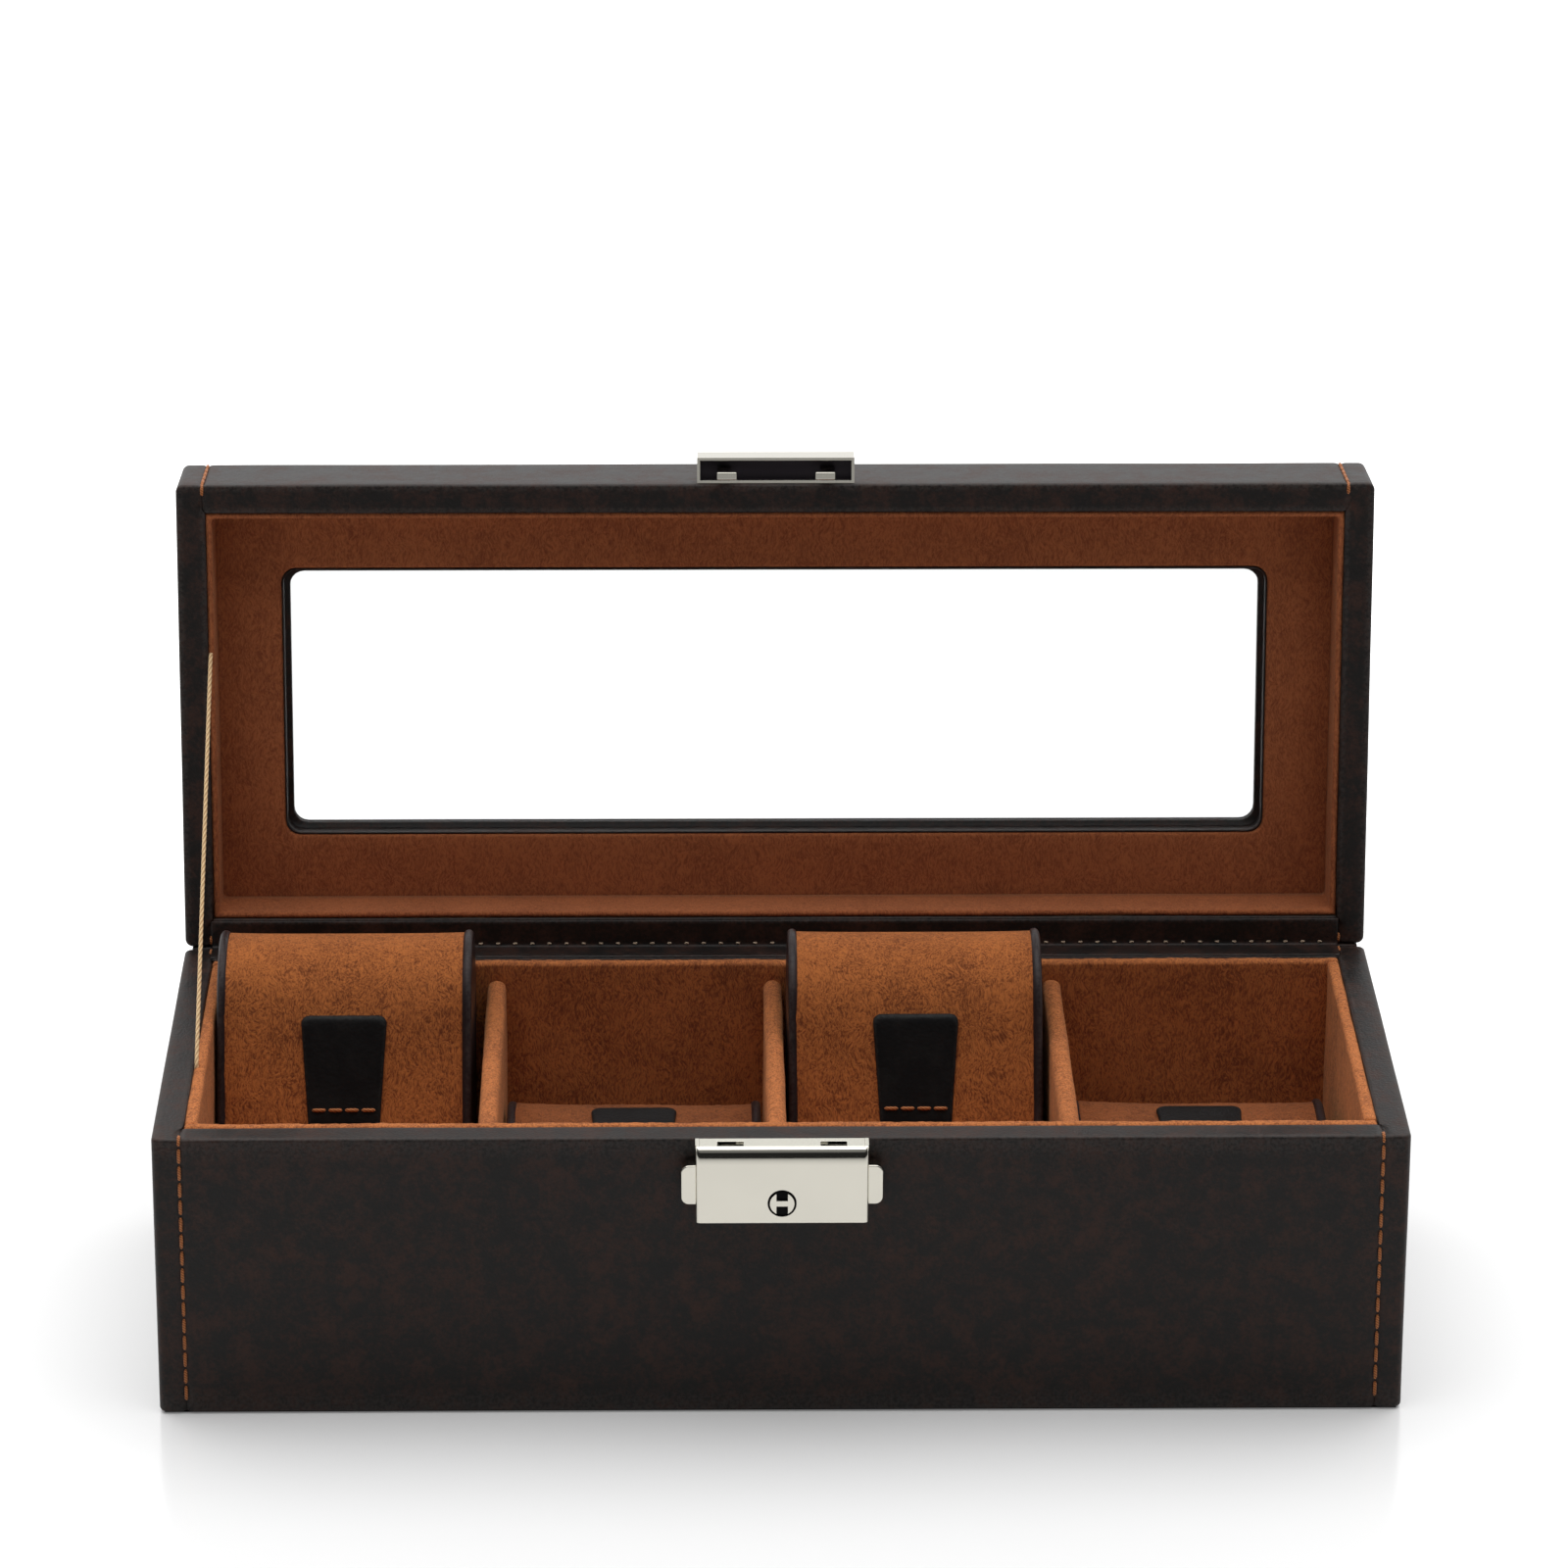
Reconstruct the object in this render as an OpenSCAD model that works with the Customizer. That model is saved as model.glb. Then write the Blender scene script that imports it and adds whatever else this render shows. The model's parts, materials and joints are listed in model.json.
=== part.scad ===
// Watch box with four pillows, a glazed lid held by a stay cord, and a push-button lock.
// Z is up, X runs along the front, the front faces -Y, and the origin is the centre of the bottom.

/* [Box] */
// Width of the box over the leather
box_w = 320; // [310:1:340]
// Depth of the box over the leather
box_d = 128; // [122:1:140]
// Height of the base, from the bottom to its rim
base_h = 77; // [74:1:84]
// Height of the lid, from its rim to its top
lid_h = 27; // [26:1:32]
// Angle that the lid stands open, from closed
open_angle = 96; // [92:1:100]
// Radius of the upright corners
corner_r = 3; // [2:0.5:5]

/* [Walls] */
// Thickness of the wall boards
board_t = 6.6; // [6:0.2:8]
// Thickness of the leather cover
leather_t = 1.2; // [1:0.1:1.4]
// Thickness of the suede lining in the base
lining_t = 3.2; // [2.6:0.1:3.6]
// Thickness of the suede lining in the lid
lid_lining_t = 1.6; // [1.4:0.1:2]
// Thickness of the floor board
floor_t = 8; // [6:0.5:9]
// Thickness of the padded floor lining
floor_lining_t = 3; // [2:0.5:4]
// Width that the side leather turns onto the front and back
seam_w = 7; // [5:0.5:10]

/* [Window] */
// Width of the window in the lid lining
window_w = 266.6; // [240:0.2:272]
// Depth of the window in the lid lining
window_d = 74.5; // [60:0.5:80]
// Depth of the lid's inside, from its rim to the lining panel
lid_cavity = 17.2; // [16:0.2:18]
// Thickness of the glass
glass_t = 1.6; // [1.5:0.1:2]
// Width of the leather trim inside the window
trim_w = 2; // [1.5:0.1:3]

/* [Pillows] */
// Width of a pillow over its leather ends
pillow_w = 68; // [64:0.5:68]
// Length of a pillow
pillow_l = 84; // [80:1:86]
// Thickness of a pillow
pillow_t = 40; // [36:1:41]
// Thickness of a pillow's leather end
pillow_end_t = 2.6; // [2:0.1:3]
// Angle that a standing pillow leans back from upright
pillow_lean = 22; // [18:1:26]
// Length of a pull tab
tab_l = 28; // [22:1:30]
// Width of a pull tab at its free end
tab_w = 22.6; // [18:0.2:26]
// Thickness of a pull tab
tab_t = 1.6; // [1.2:0.1:2]

/* [Lock] */
// Width of the lock case
lock_w = 44; // [44:0.5:48]
// Height of the lock case
lock_h = 20.3; // [20:0.1:21]
// Depth of the lock case, out from the leather
lock_d = 7.2; // [7.2:0.1:8]
// Distance that a button stands out
button_out = 3.6; // [3:0.1:4]
// Travel of a button
button_travel = 2.5; // [2.5:0.1:2.8]
// Radius of the key cylinder
key_r = 3.62; // [3.4:0.02:3.7]

/* [Cord] */
// Radius of the stay cord
cord_r = 0.55; // [0.4:0.05:0.6]
// Distance of the cord's two anchors from the hinge line
cord_reach = 81.5; // [70:0.5:90]

/* [Hidden] */
$fn = 48;

leather_c = "#2d2723";
suede_c = "#8a4a25";
board_c = "#a88a63";
nickel_c = "#cfcdc4";
steel_c = "#9a9a98";
cord_c = "#d9b07a";
tab_c = "#1a1a1b";

// Outer faces of the box, then of its boards, then the faces of the linings
half_w = box_w / 2;
half_d = box_d / 2;
board_x = half_w - leather_t;
board_y = half_d - leather_t;
inner_x = board_x - board_t;
inner_y = board_y - board_t;
room_x = inner_x - lining_t;
room_y = inner_y - lining_t;
seam_x = half_w - seam_w;

// Heights in the base
felt_t = 1.2;
skirt_z = 0.3;
floor_z = felt_t + floor_t;
seat_z = floor_z + floor_lining_t;
lining_drop = 1;
lining_z = base_h - lining_drop;
divider_t = 5;
divider_z = base_h - 4.5;
divider_x = [-75.3, -1, 74.4];

// The hinge line lies along the outer back edge, halfway between the two rims
rim_gap = 0.8;
hinge_y = half_d;
hinge_z = base_h + rim_gap / 2;
lid_z = base_h + rim_gap;
strip_t = 0.35;
spine_t = 1;
spine_l = 24;
spine_x = half_w - 10;

// Heights in the lid, measured on the closed lid
panel_z = lid_z + lid_cavity;
top_board_z = panel_z + lid_lining_t;
cover_z = lid_z + lid_h - leather_t;
glass_z = cover_z - glass_t;
lid_lining_drop = 0.8;
window_r = 5;

// Lock, whose top is level with the rim
lock_wall = 1;
lock_x = lock_w / 2;
lock_front = -half_d - lock_d;
lock_z = base_h - lock_h;
plate_z = base_h - lock_wall;
plate_front = -69;
brow_d = 1.8;
brow_h = 4.2;
brow_steps = 6;
back_plate_t = 0.8;
slot_x = 13.1;
slot_w = 6.6;
slot_y = [-68.7, -65.9];
key_z = base_h - 14.9;
key_play = 0.08;
key_face_r = key_r - 0.5;
key_step = 0.6;
cam_reach = 8.75;
cam_r = 3.4;
notch_w = 2.9;
notch_in = 0.75;
lock_screw_x = 15;
lock_screw_z = [base_h - 16.5, base_h - 3.5];
screw_r = 0.85;
screw_play = 0.05;
head_r = 2.2;
head_t = 1.4;

// Button, arm and catch, for the left side
cap_y = [-69.6, -65.4];
cap_z = [base_h - 15.9, base_h - 5.2];
cap_play = 0.25;
arm_y = [-70.05, -69.05];
arm_z = [base_h - 7, base_h - 5.4];
arm_end = -button_travel - 1.5;
catch_x = [-11.6, -9.4];
catch_z = base_h - 1.2;
catch_t = 1.4;
pad_t = 0.9;
post_x = 2;
spring_y = -67.4;
spring_z = base_h - 3.3;

// Strike and hooks, on the closed lid
strike_w = 42;
strike_d = 7;
strike_z = lid_z + 1.2;
strike_h = 7.5;
strike_rim = 0.8;
strike_pocket = 2;
hook_w = 3.8;
hook_y = [-68.3, -66.3];
hook_tip_z = base_h - 4.4;
barb = 1.4;
barb_t = 1.6;
strike_screw_x = 8;

// Pillows, whose centres lie along the four bays
pillow_x = [-114.6, -38.15, 36.4, 111.5];
pillow_r = pillow_t / 2;
pillow_gap = 0.4;
pillow_half = pillow_l / 2 - pillow_r;
tab_start = 4;
tab_end_w = 18.6;
tab_corner = 2;

cord_x = -inner_x + 0.7;
cord_tuck = 3.5;
cord_sides = 8;

// A box from one corner to the opposite one
module block(low, high) {
    translate(low) cube(high - low);
}

// A rectangle with round corners
module round_rect(w, d, r) {
    square([w - 2 * r, d], center = true);
    square([w, d - 2 * r], center = true);
    for (x = [-1, 1], y = [-1, 1])
        translate([x * (w / 2 - r), y * (d / 2 - r)]) circle(r);
}

// A round rod between two heights of Y
module rod_y(x, z, r, y0, y1) {
    translate([x, y1, z]) rotate([90, 0, 0]) cylinder(h = y1 - y0, r = r);
}

// The closed lid's parts, turned open about the hinge line
module opened() {
    translate([0, hinge_y, hinge_z]) rotate([-open_angle, 0, 0])
        translate([0, -hinge_y, -hinge_z]) children();
}

// The same shape on the right-hand side
module to_right() {
    mirror([1, 0, 0]) children();
}

// Base: boards

module lock_screw_holes(y0, y1) {
    for (x = [-1, 1], z = lock_screw_z)
        rod_y(x * lock_screw_x, z, screw_r + screw_play, y0, y1);
}

module base_front_board() {
    color(board_c) difference() {
        block([-board_x, -board_y, felt_t], [board_x, -inner_y, base_h - leather_t]);
        lock_screw_holes(-board_y - 1, -inner_y + 1);
        for (x = [-1, 1], z = lock_screw_z)
            rod_y(x * lock_screw_x, z, head_r + screw_play, -inner_y - head_t, -inner_y + 1);
    }
}

module base_back_board() {
    color(board_c) block([-board_x, inner_y, felt_t], [board_x, board_y, base_h - leather_t]);
}

module base_left_board() {
    color(board_c) block([-board_x, -inner_y, felt_t], [-inner_x, inner_y, base_h - leather_t]);
}

module base_right_board() {
    color(board_c) block([inner_x, -inner_y, felt_t], [board_x, inner_y, base_h - leather_t]);
}

module base_floor_board() {
    color(board_c) block([-inner_x, -inner_y, felt_t], [inner_x, inner_y, floor_z]);
}

// Base: leather and felt

// The front cover, which turns over the rim
module front_cover() {
    block([-seam_x, -half_d, skirt_z], [seam_x, -board_y, base_h]);
    block([-inner_x, -board_y, base_h - leather_t], [inner_x, -inner_y, base_h]);
}

// The right cover, which turns onto the front and back as far as the seams
module side_cover() {
    difference() {
        translate([0, 0, skirt_z]) linear_extrude(base_h - skirt_z) round_rect(box_w, box_d, corner_r);
        block([-half_w - 1, -board_y, -1], [board_x, board_y, base_h + 1]);
        block([-half_w - 1, -half_d - 1, -1], [seam_x, half_d + 1, base_h + 1]);
        block([-half_w - 1, -half_d - 1, base_h], [half_w + 1, half_d + 1, base_h + 1]);
    }
    block([inner_x, -board_y, base_h - leather_t], [board_x, board_y, base_h]);
}

module base_front_leather() {
    color(leather_c) difference() {
        front_cover();
        lock_screw_holes(-half_d - 1, -board_y + 1);
    }
}

module base_back_leather() {
    color(leather_c) mirror([0, 1, 0]) front_cover();
}

module base_left_leather() {
    color(leather_c) to_right() side_cover();
}

module base_right_leather() {
    color(leather_c) side_cover();
}

module bottom_felt() {
    color("#1c1a19") block([-board_x, -board_y, 0], [board_x, board_y, felt_t]);
}

// Base: linings and dividers

module base_front_lining() {
    color(suede_c) block([-inner_x, -inner_y, floor_z], [inner_x, -room_y, lining_z]);
}

module base_back_lining() {
    color(suede_c) block([-inner_x, room_y, floor_z], [inner_x, inner_y, lining_z]);
}

// The left lining has a slot behind its top edge, where the cord is tucked in
module base_left_lining() {
    color(suede_c) difference() {
        block([-inner_x, -room_y, floor_z], [-room_x, room_y, lining_z]);
        block([-inner_x - 1, hinge_y - cord_reach - 1, lining_z - cord_tuck],
              [cord_x + cord_r + 0.15, hinge_y - cord_reach + 1.5, base_h]);
    }
}

module base_right_lining() {
    color(suede_c) block([room_x, -room_y, floor_z], [inner_x, room_y, lining_z]);
}

module base_floor_lining() {
    color(suede_c) block([-room_x, -room_y, floor_z], [room_x, room_y, seat_z]);
}

// A divider with a round top
module divider(n) {
    r = divider_t / 2;
    color(suede_c) translate([divider_x[n - 1], 0, 0]) {
        block([-r, -room_y, seat_z], [r, room_y, divider_z - r]);
        intersection() {
            rod_y(0, divider_z - r, r, -room_y, room_y);
            block([-r - 1, -room_y, divider_z - r], [r + 1, room_y, divider_z + 1]);
        }
    }
}

module divider_1() { divider(1); }
module divider_2() { divider(2); }
module divider_3() { divider(3); }

// Hinge and stay cord

// The inner strip lies on both rims and folds at the hinge line
module hinge_strip() {
    color(leather_c) {
        block([-seam_x, inner_y, base_h], [seam_x, hinge_y, base_h + strip_t]);
        opened() block([-seam_x, inner_y, lid_z - strip_t], [seam_x, hinge_y, lid_z]);
    }
}

// The outer spine is glued to the back of the base and of the lid, and bends in the corner between them
module hinge_spine() {
    lean = open_angle - 90;
    along = [cos(lean), -sin(lean)];
    under = spine_t * [-sin(lean), -cos(lean)];
    bend = spine_t * (1 + sin(lean)) / cos(lean);
    color(leather_c) translate([-spine_x, hinge_y, hinge_z]) rotate([90, 0, 90])
        linear_extrude(2 * spine_x)
            polygon([[0, 0], [0, -spine_l], [spine_t, -spine_l], bend * along + under,
                     spine_l * along + under, spine_l * along]);
}

// A ring of points round a place on the cord, square to the way that halves the bend there
function cord_ring(before, at, after) =
    let (a = (at - before) / norm(at - before), b = (after - at) / norm(after - at),
         way = (a + b) / norm(a + b), stretch = cord_r / (way * a))
    [for (i = [0 : cord_sides - 1])
        at + cord_r * [cos(i * 360 / cord_sides), 0, 0]
           + stretch * sin(i * 360 / cord_sides) * [0, -way[2], way[1]]];

// The cord runs straight from the base to the lid, and both ends are tucked behind the linings
module lid_stay_cord() {
    lean = open_angle - 90;
    low = [cord_x, hinge_y - cord_reach, hinge_z];
    high = [cord_x, hinge_y + cord_reach * sin(lean), hinge_z + cord_reach * cos(lean)];
    route = [low - [0, 0, cord_tuck], low, high, high + cord_tuck * [0, cos(lean), -sin(lean)]];
    last = len(route) - 1;
    rings = [for (k = [0 : last])
        cord_ring(k > 0 ? route[k - 1] : 2 * route[0] - route[1], route[k],
                  k < last ? route[k + 1] : 2 * route[last] - route[last - 1])];
    sides = [for (k = [0 : last - 1], i = [0 : cord_sides - 1])
        let (j = (i + 1) % cord_sides)
        [k * cord_sides + i, k * cord_sides + j, (k + 1) * cord_sides + j, (k + 1) * cord_sides + i]];
    ends = [[for (i = [cord_sides - 1 : -1 : 0]) i], [for (i = [0 : cord_sides - 1]) last * cord_sides + i]];
    color(cord_c) polyhedron([for (ring = rings) each ring], concat(sides, ends));
}

// Lock

// The side view of the case, whose front leans back in a round brow below the top
module lock_side() {
    brow = [for (k = [0 : brow_steps])
        let (t = 90 * k / brow_steps)
        [lock_front + brow_d * (1 - cos(t)), base_h - brow_h * (1 - sin(t))]];
    polygon(concat([[-half_d, base_h], [-half_d, lock_z], [lock_front, lock_z]], brow));
}

module lock_case() {
    color(nickel_c) difference() {
        translate([-lock_x, 0, 0]) rotate([90, 0, 90]) linear_extrude(lock_w) lock_side();
        block([-lock_x + lock_wall, lock_front + lock_wall, lock_z + lock_wall],
              [lock_x - lock_wall, -half_d + 1, plate_z]);
        block([-lock_x + lock_wall, plate_front, plate_z - 0.1],
              [lock_x - lock_wall, -half_d + 1, base_h + 1]);
        block([-lock_x - 1, cap_y[0] - cap_play, cap_z[0] - cap_play],
              [lock_x + 1, cap_y[1] + cap_play, cap_z[1] + cap_play]);
        rod_y(0, key_z, key_r + key_play, lock_front - 1, lock_front + lock_wall + 1);
    }
}

module lock_slot_plate() {
    color(nickel_c) difference() {
        block([-lock_x + lock_wall, plate_front, plate_z], [lock_x - lock_wall, -half_d, base_h]);
        for (x = [-slot_x, slot_x])
            block([x - slot_w / 2, slot_y[0], plate_z - 1], [x + slot_w / 2, slot_y[1], base_h + 1]);
    }
}

// The back plate carries the post that both springs bear on
module lock_back_plate() {
    inside = lock_x - lock_wall;
    color(steel_c) {
        difference() {
            block([-inside, -half_d - back_plate_t, lock_z + lock_wall], [inside, -half_d, plate_z]);
            lock_screw_holes(-half_d - 2, -half_d + 1);
        }
        block([-post_x, -68.9, base_h - 5.4], [post_x, -half_d - back_plate_t, base_h - 1.8]);
    }
}

module lock_screws() {
    color(steel_c) for (x = [-1, 1], z = lock_screw_z) {
        rod_y(x * lock_screw_x, z, screw_r, -half_d - back_plate_t - 0.8, -inner_y - head_t);
        rod_y(x * lock_screw_x, z, head_r, -inner_y - head_t, -inner_y - 0.1);
    }
}

// A coil spring between the pad behind the catch and the post
module lock_spring() {
    translate([-post_x, spring_y, spring_z]) rotate([0, -90, 0])
        difference() {
            cylinder(h = -catch_x[1] - post_x, r = 1.4);
            translate([0, 0, -1]) cylinder(h = -catch_x[1] - post_x + 2, r = 0.9);
        }
}

module left_lock_spring() { color(steel_c) lock_spring(); }
module right_lock_spring() { color(steel_c) to_right() lock_spring(); }

// A button cap with round outer corners, and a lip inside the case that keeps it in
module button() {
    r = 2;
    out = -lock_x - button_out;
    back = -lock_x + lock_wall;
    translate([0, cap_y[1], 0]) rotate([90, 0, 0]) linear_extrude(cap_y[1] - cap_y[0]) {
        translate([out + r, cap_z[0]]) square([back + 0.1 - out - r, cap_z[1] - cap_z[0]]);
        translate([out, cap_z[0] + r]) square([r, cap_z[1] - cap_z[0] - 2 * r]);
        for (z = [cap_z[0] + r, cap_z[1] - r]) translate([out + r, z]) circle(r);
        translate([back + 0.1, cap_z[0] - 0.9]) square([0.9, cap_z[1] - cap_z[0] + 1.8]);
    }
}

module left_button() { color(nickel_c) button(); }
module right_button() { color(nickel_c) to_right() button(); }

// The arm runs in from the button, rises to the catch, and ends where the cam can block it
module button_catch() {
    start = -lock_x + lock_wall + 1;
    block([start, arm_y[0], arm_z[0]], [arm_end, arm_y[1], arm_z[1]]);
    block([catch_x[0], arm_y[0], arm_z[0]], [catch_x[1], arm_y[1], catch_z]);
    block([catch_x[0], arm_y[1] - 0.1, catch_z - catch_t], [catch_x[1], -66.5, catch_z]);
    block([catch_x[1] - pad_t, arm_y[1] - 0.1, arm_z[1]], [catch_x[1], -66, catch_z]);
}

module left_catch() { color(steel_c) button_catch(); }
module right_catch() { color(steel_c) to_right() button_catch(); }

// The key cylinder turns in the case; a square notch runs in from its face's edge above and below
module key_cylinder() {
    color(nickel_c) difference() {
        union() {
            rod_y(0, key_z, key_face_r, lock_front - 0.3, lock_front + lock_wall);
            rod_y(0, key_z, key_r, lock_front + key_step, lock_front + lock_wall + 0.05);
            rod_y(0, key_z, 2, lock_front + lock_wall, -65.6);
        }
        for (z = [-notch_in - key_r, notch_in])
            block([-notch_w / 2, lock_front - 1, key_z + z],
                  [notch_w / 2, lock_front + key_step - 0.05, key_z + z + key_r]);
    }
}

// The cam stands out towards +X when unlocked, and upwards between the arms when locked
module lock_cam() {
    color(steel_c) difference() {
        union() {
            rod_y(0, key_z, cam_r, arm_y[0], arm_y[1]);
            intersection() {
                rod_y(0, key_z, cam_reach, arm_y[0], arm_y[1]);
                block([0, arm_y[0], key_z - cam_r], [cam_reach, arm_y[1], key_z + cam_r]);
            }
        }
        rod_y(0, key_z, 2, arm_y[0] - 1, arm_y[1] + 1);
    }
}

// Lid, drawn closed and turned open

module lid_window_hole(low, high) {
    translate([0, 0, low]) linear_extrude(high - low) round_rect(window_w, window_d, window_r);
}

module trim_hole(low, high) {
    translate([0, 0, low]) linear_extrude(high - low)
        round_rect(window_w - 2 * trim_w, window_d - 2 * trim_w, window_r - trim_w);
}

module lid_top_board() {
    color(board_c) opened() difference() {
        block([-inner_x, -inner_y, top_board_z], [inner_x, inner_y, cover_z]);
        lid_window_hole(top_board_z - 1, cover_z + 1);
    }
}

module strike_screw_holes(r, y0, y1) {
    for (x = [-1, 1]) rod_y(x * strike_screw_x, strike_z + strike_h - 2.6, r, y0, y1);
}

module lid_front_board() {
    color(board_c) opened() difference() {
        block([-board_x, -board_y, lid_z + leather_t], [board_x, -inner_y, cover_z]);
        strike_screw_holes(screw_r + screw_play, -board_y - 1, -inner_y + 1);
        strike_screw_holes(head_r + screw_play, -inner_y - head_t, -inner_y + 1);
    }
}

module lid_back_board() {
    color(board_c) opened() block([-board_x, inner_y, lid_z + leather_t], [board_x, board_y, cover_z]);
}

module lid_left_board() {
    color(board_c) opened() block([-board_x, -inner_y, lid_z + leather_t], [-inner_x, inner_y, cover_z]);
}

module lid_right_board() {
    color(board_c) opened() block([inner_x, -inner_y, lid_z + leather_t], [board_x, inner_y, cover_z]);
}

// The edge cover goes round the lid and turns over its rim
module lid_edge_leather() {
    color(leather_c) opened() difference() {
        translate([0, 0, lid_z]) linear_extrude(cover_z - lid_z) round_rect(box_w, box_d, corner_r);
        block([-board_x, -board_y, lid_z + leather_t], [board_x, board_y, cover_z + 1]);
        block([-inner_x, -inner_y, lid_z - 1], [inner_x, inner_y, cover_z]);
        strike_screw_holes(screw_r + screw_play, -half_d - 1, -board_y + 1);
    }
}

module lid_top_leather() {
    color(leather_c) opened() difference() {
        translate([0, 0, cover_z]) linear_extrude(leather_t) round_rect(box_w, box_d, corner_r);
        trim_hole(cover_z - 1, cover_z + leather_t + 1);
    }
}

module lid_lining_panel() {
    color("#6b341c") opened() difference() {
        block([-inner_x, -inner_y, panel_z], [inner_x, inner_y, top_board_z]);
        lid_window_hole(panel_z - 1, top_board_z + 1);
    }
}

// The wall lining stops short of the rim; a slot behind it holds the cord's end
module lid_wall_lining() {
    low = lid_z + lid_lining_drop;
    x = inner_x - lid_lining_t;
    y = inner_y - lid_lining_t;
    color(suede_c) opened() difference() {
        block([-inner_x, -inner_y, low], [inner_x, inner_y, panel_z]);
        block([-x, -y, low - 1], [x, y, panel_z + 1]);
        block([-inner_x - 1, hinge_y - cord_reach - 1, low - 1],
              [cord_x + cord_r + 0.15, hinge_y - cord_reach + 1.5, low + cord_tuck]);
    }
}

module window_trim() {
    color(leather_c) opened() difference() {
        lid_window_hole(panel_z + 0.4, glass_z);
        trim_hole(panel_z, glass_z + 1);
    }
}

module window_glass() {
    color([0.85, 0.92, 0.92, 0.35]) opened() lid_window_hole(glass_z, cover_z);
}

// Strike: a shell with a pocket underneath, from which the hooks reach down into the lock

module strike_plate() {
    color(nickel_c) opened() difference() {
        block([-strike_w / 2, -half_d - strike_d, strike_z], [strike_w / 2, -half_d, strike_z + strike_h]);
        block([-strike_w / 2 + strike_rim, -half_d - strike_d + strike_rim, strike_z - 1],
              [strike_w / 2 - strike_rim, -half_d - strike_rim, strike_z + strike_pocket]);
        strike_screw_holes(screw_r + screw_play, -half_d - 3, -half_d + 1);
    }
}

module strike_hooks() {
    outer = -slot_x - (hook_w + barb) / 2;
    color(nickel_c) opened() for (side = [0, 1]) mirror([side, 0, 0]) {
        block([outer, hook_y[0], hook_tip_z], [outer + hook_w, hook_y[1], strike_z + strike_pocket]);
        block([outer + hook_w - 0.1, hook_y[0], hook_tip_z],
              [outer + hook_w + barb, hook_y[1], hook_tip_z + barb_t]);
    }
}

module strike_screws() {
    color(steel_c) opened() {
        strike_screw_holes(screw_r, -half_d - 2.8, -inner_y - head_t);
        strike_screw_holes(head_r, -inner_y - head_t, -inner_y - 0.1);
    }
}

// Pillows: each is drawn lying flat, centred, with its top end towards +Y

// The side view of a pillow, as long as the pillow, with round ends
module pillow_outline() {
    square([2 * pillow_half, pillow_t], center = true);
    for (y = [-pillow_half, pillow_half]) translate([y, 0]) circle(pillow_r);
}

// The outline carried along X from one width to another
module pillow_slice(x0, x1) {
    translate([x0, 0, 0]) rotate([90, 0, 90]) linear_extrude(x1 - x0) pillow_outline();
}

// A tab with round corners at its free end, narrower where it is stitched on
module tab_outline() {
    free = pillow_half - tab_start;
    stitched = free - tab_l;
    w = tab_w / 2;
    e = tab_end_w / 2;
    polygon([[-e, stitched], [e, stitched], [w, free - tab_corner], [w - tab_corner, free],
             [-w + tab_corner, free], [-w, free - tab_corner]]);
    for (x = [-1, 1]) translate([x * (w - tab_corner), free - tab_corner]) circle(tab_corner);
}

// Odd pillows stand on end and lean back, and even ones lie flat against the front
module in_bay(n) {
    standing = n % 2 == 1;
    y = standing ? room_y - pillow_gap - pillow_r - pillow_half * sin(pillow_lean)
                 : -room_y + pillow_gap + pillow_l / 2;
    z = seat_z + pillow_gap + pillow_r + (standing ? pillow_half * cos(pillow_lean) : 0);
    translate([pillow_x[n - 1], y, z]) rotate([standing ? 90 - pillow_lean : 0, 0, 0]) children();
}

module pillow_roll(n) {
    side = pillow_w / 2 - pillow_end_t;
    color(suede_c) in_bay(n) pillow_slice(-side, side);
}

module pillow_ends(n) {
    side = pillow_w / 2;
    color(leather_c) in_bay(n) {
        pillow_slice(-side, -side + pillow_end_t);
        pillow_slice(side - pillow_end_t, side);
    }
}

module pillow_tab(n) {
    color(tab_c) in_bay(n) translate([0, 0, pillow_r]) linear_extrude(tab_t) tab_outline();
}

module pillow_1_roll() { pillow_roll(1); }
module pillow_1_ends() { pillow_ends(1); }
module pillow_1_tab() { pillow_tab(1); }
module pillow_2_roll() { pillow_roll(2); }
module pillow_2_ends() { pillow_ends(2); }
module pillow_2_tab() { pillow_tab(2); }
module pillow_3_roll() { pillow_roll(3); }
module pillow_3_ends() { pillow_ends(3); }
module pillow_3_tab() { pillow_tab(3); }
module pillow_4_roll() { pillow_roll(4); }
module pillow_4_ends() { pillow_ends(4); }
module pillow_4_tab() { pillow_tab(4); }

base_front_board();
base_back_board();
base_left_board();
base_right_board();
base_floor_board();
base_front_leather();
base_back_leather();
base_left_leather();
base_right_leather();
bottom_felt();
base_front_lining();
base_back_lining();
base_left_lining();
base_right_lining();
base_floor_lining();
divider_1();
divider_2();
divider_3();
hinge_strip();
hinge_spine();
lid_stay_cord();
lock_case();
lock_slot_plate();
lock_back_plate();
lock_screws();
left_lock_spring();
right_lock_spring();
left_button();
left_catch();
right_button();
right_catch();
key_cylinder();
lock_cam();
lid_top_board();
lid_front_board();
lid_back_board();
lid_left_board();
lid_right_board();
lid_edge_leather();
lid_top_leather();
lid_lining_panel();
lid_wall_lining();
window_trim();
window_glass();
strike_plate();
strike_hooks();
strike_screws();
pillow_1_roll();
pillow_1_ends();
pillow_1_tab();
pillow_2_roll();
pillow_2_ends();
pillow_2_tab();
pillow_3_roll();
pillow_3_ends();
pillow_3_tab();
pillow_4_roll();
pillow_4_ends();
pillow_4_tab();
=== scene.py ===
"""A watch box with a glazed lid, four pillows and a push-button lock, dressed over its CAD frame.

Sizes are in millimetres and meshes are made in metres. The front faces -Y, X runs along it and Z is up.
"""

import json
import logging
import math
from dataclasses import dataclass, field
from enum import Enum
from typing import Callable, Sequence

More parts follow.
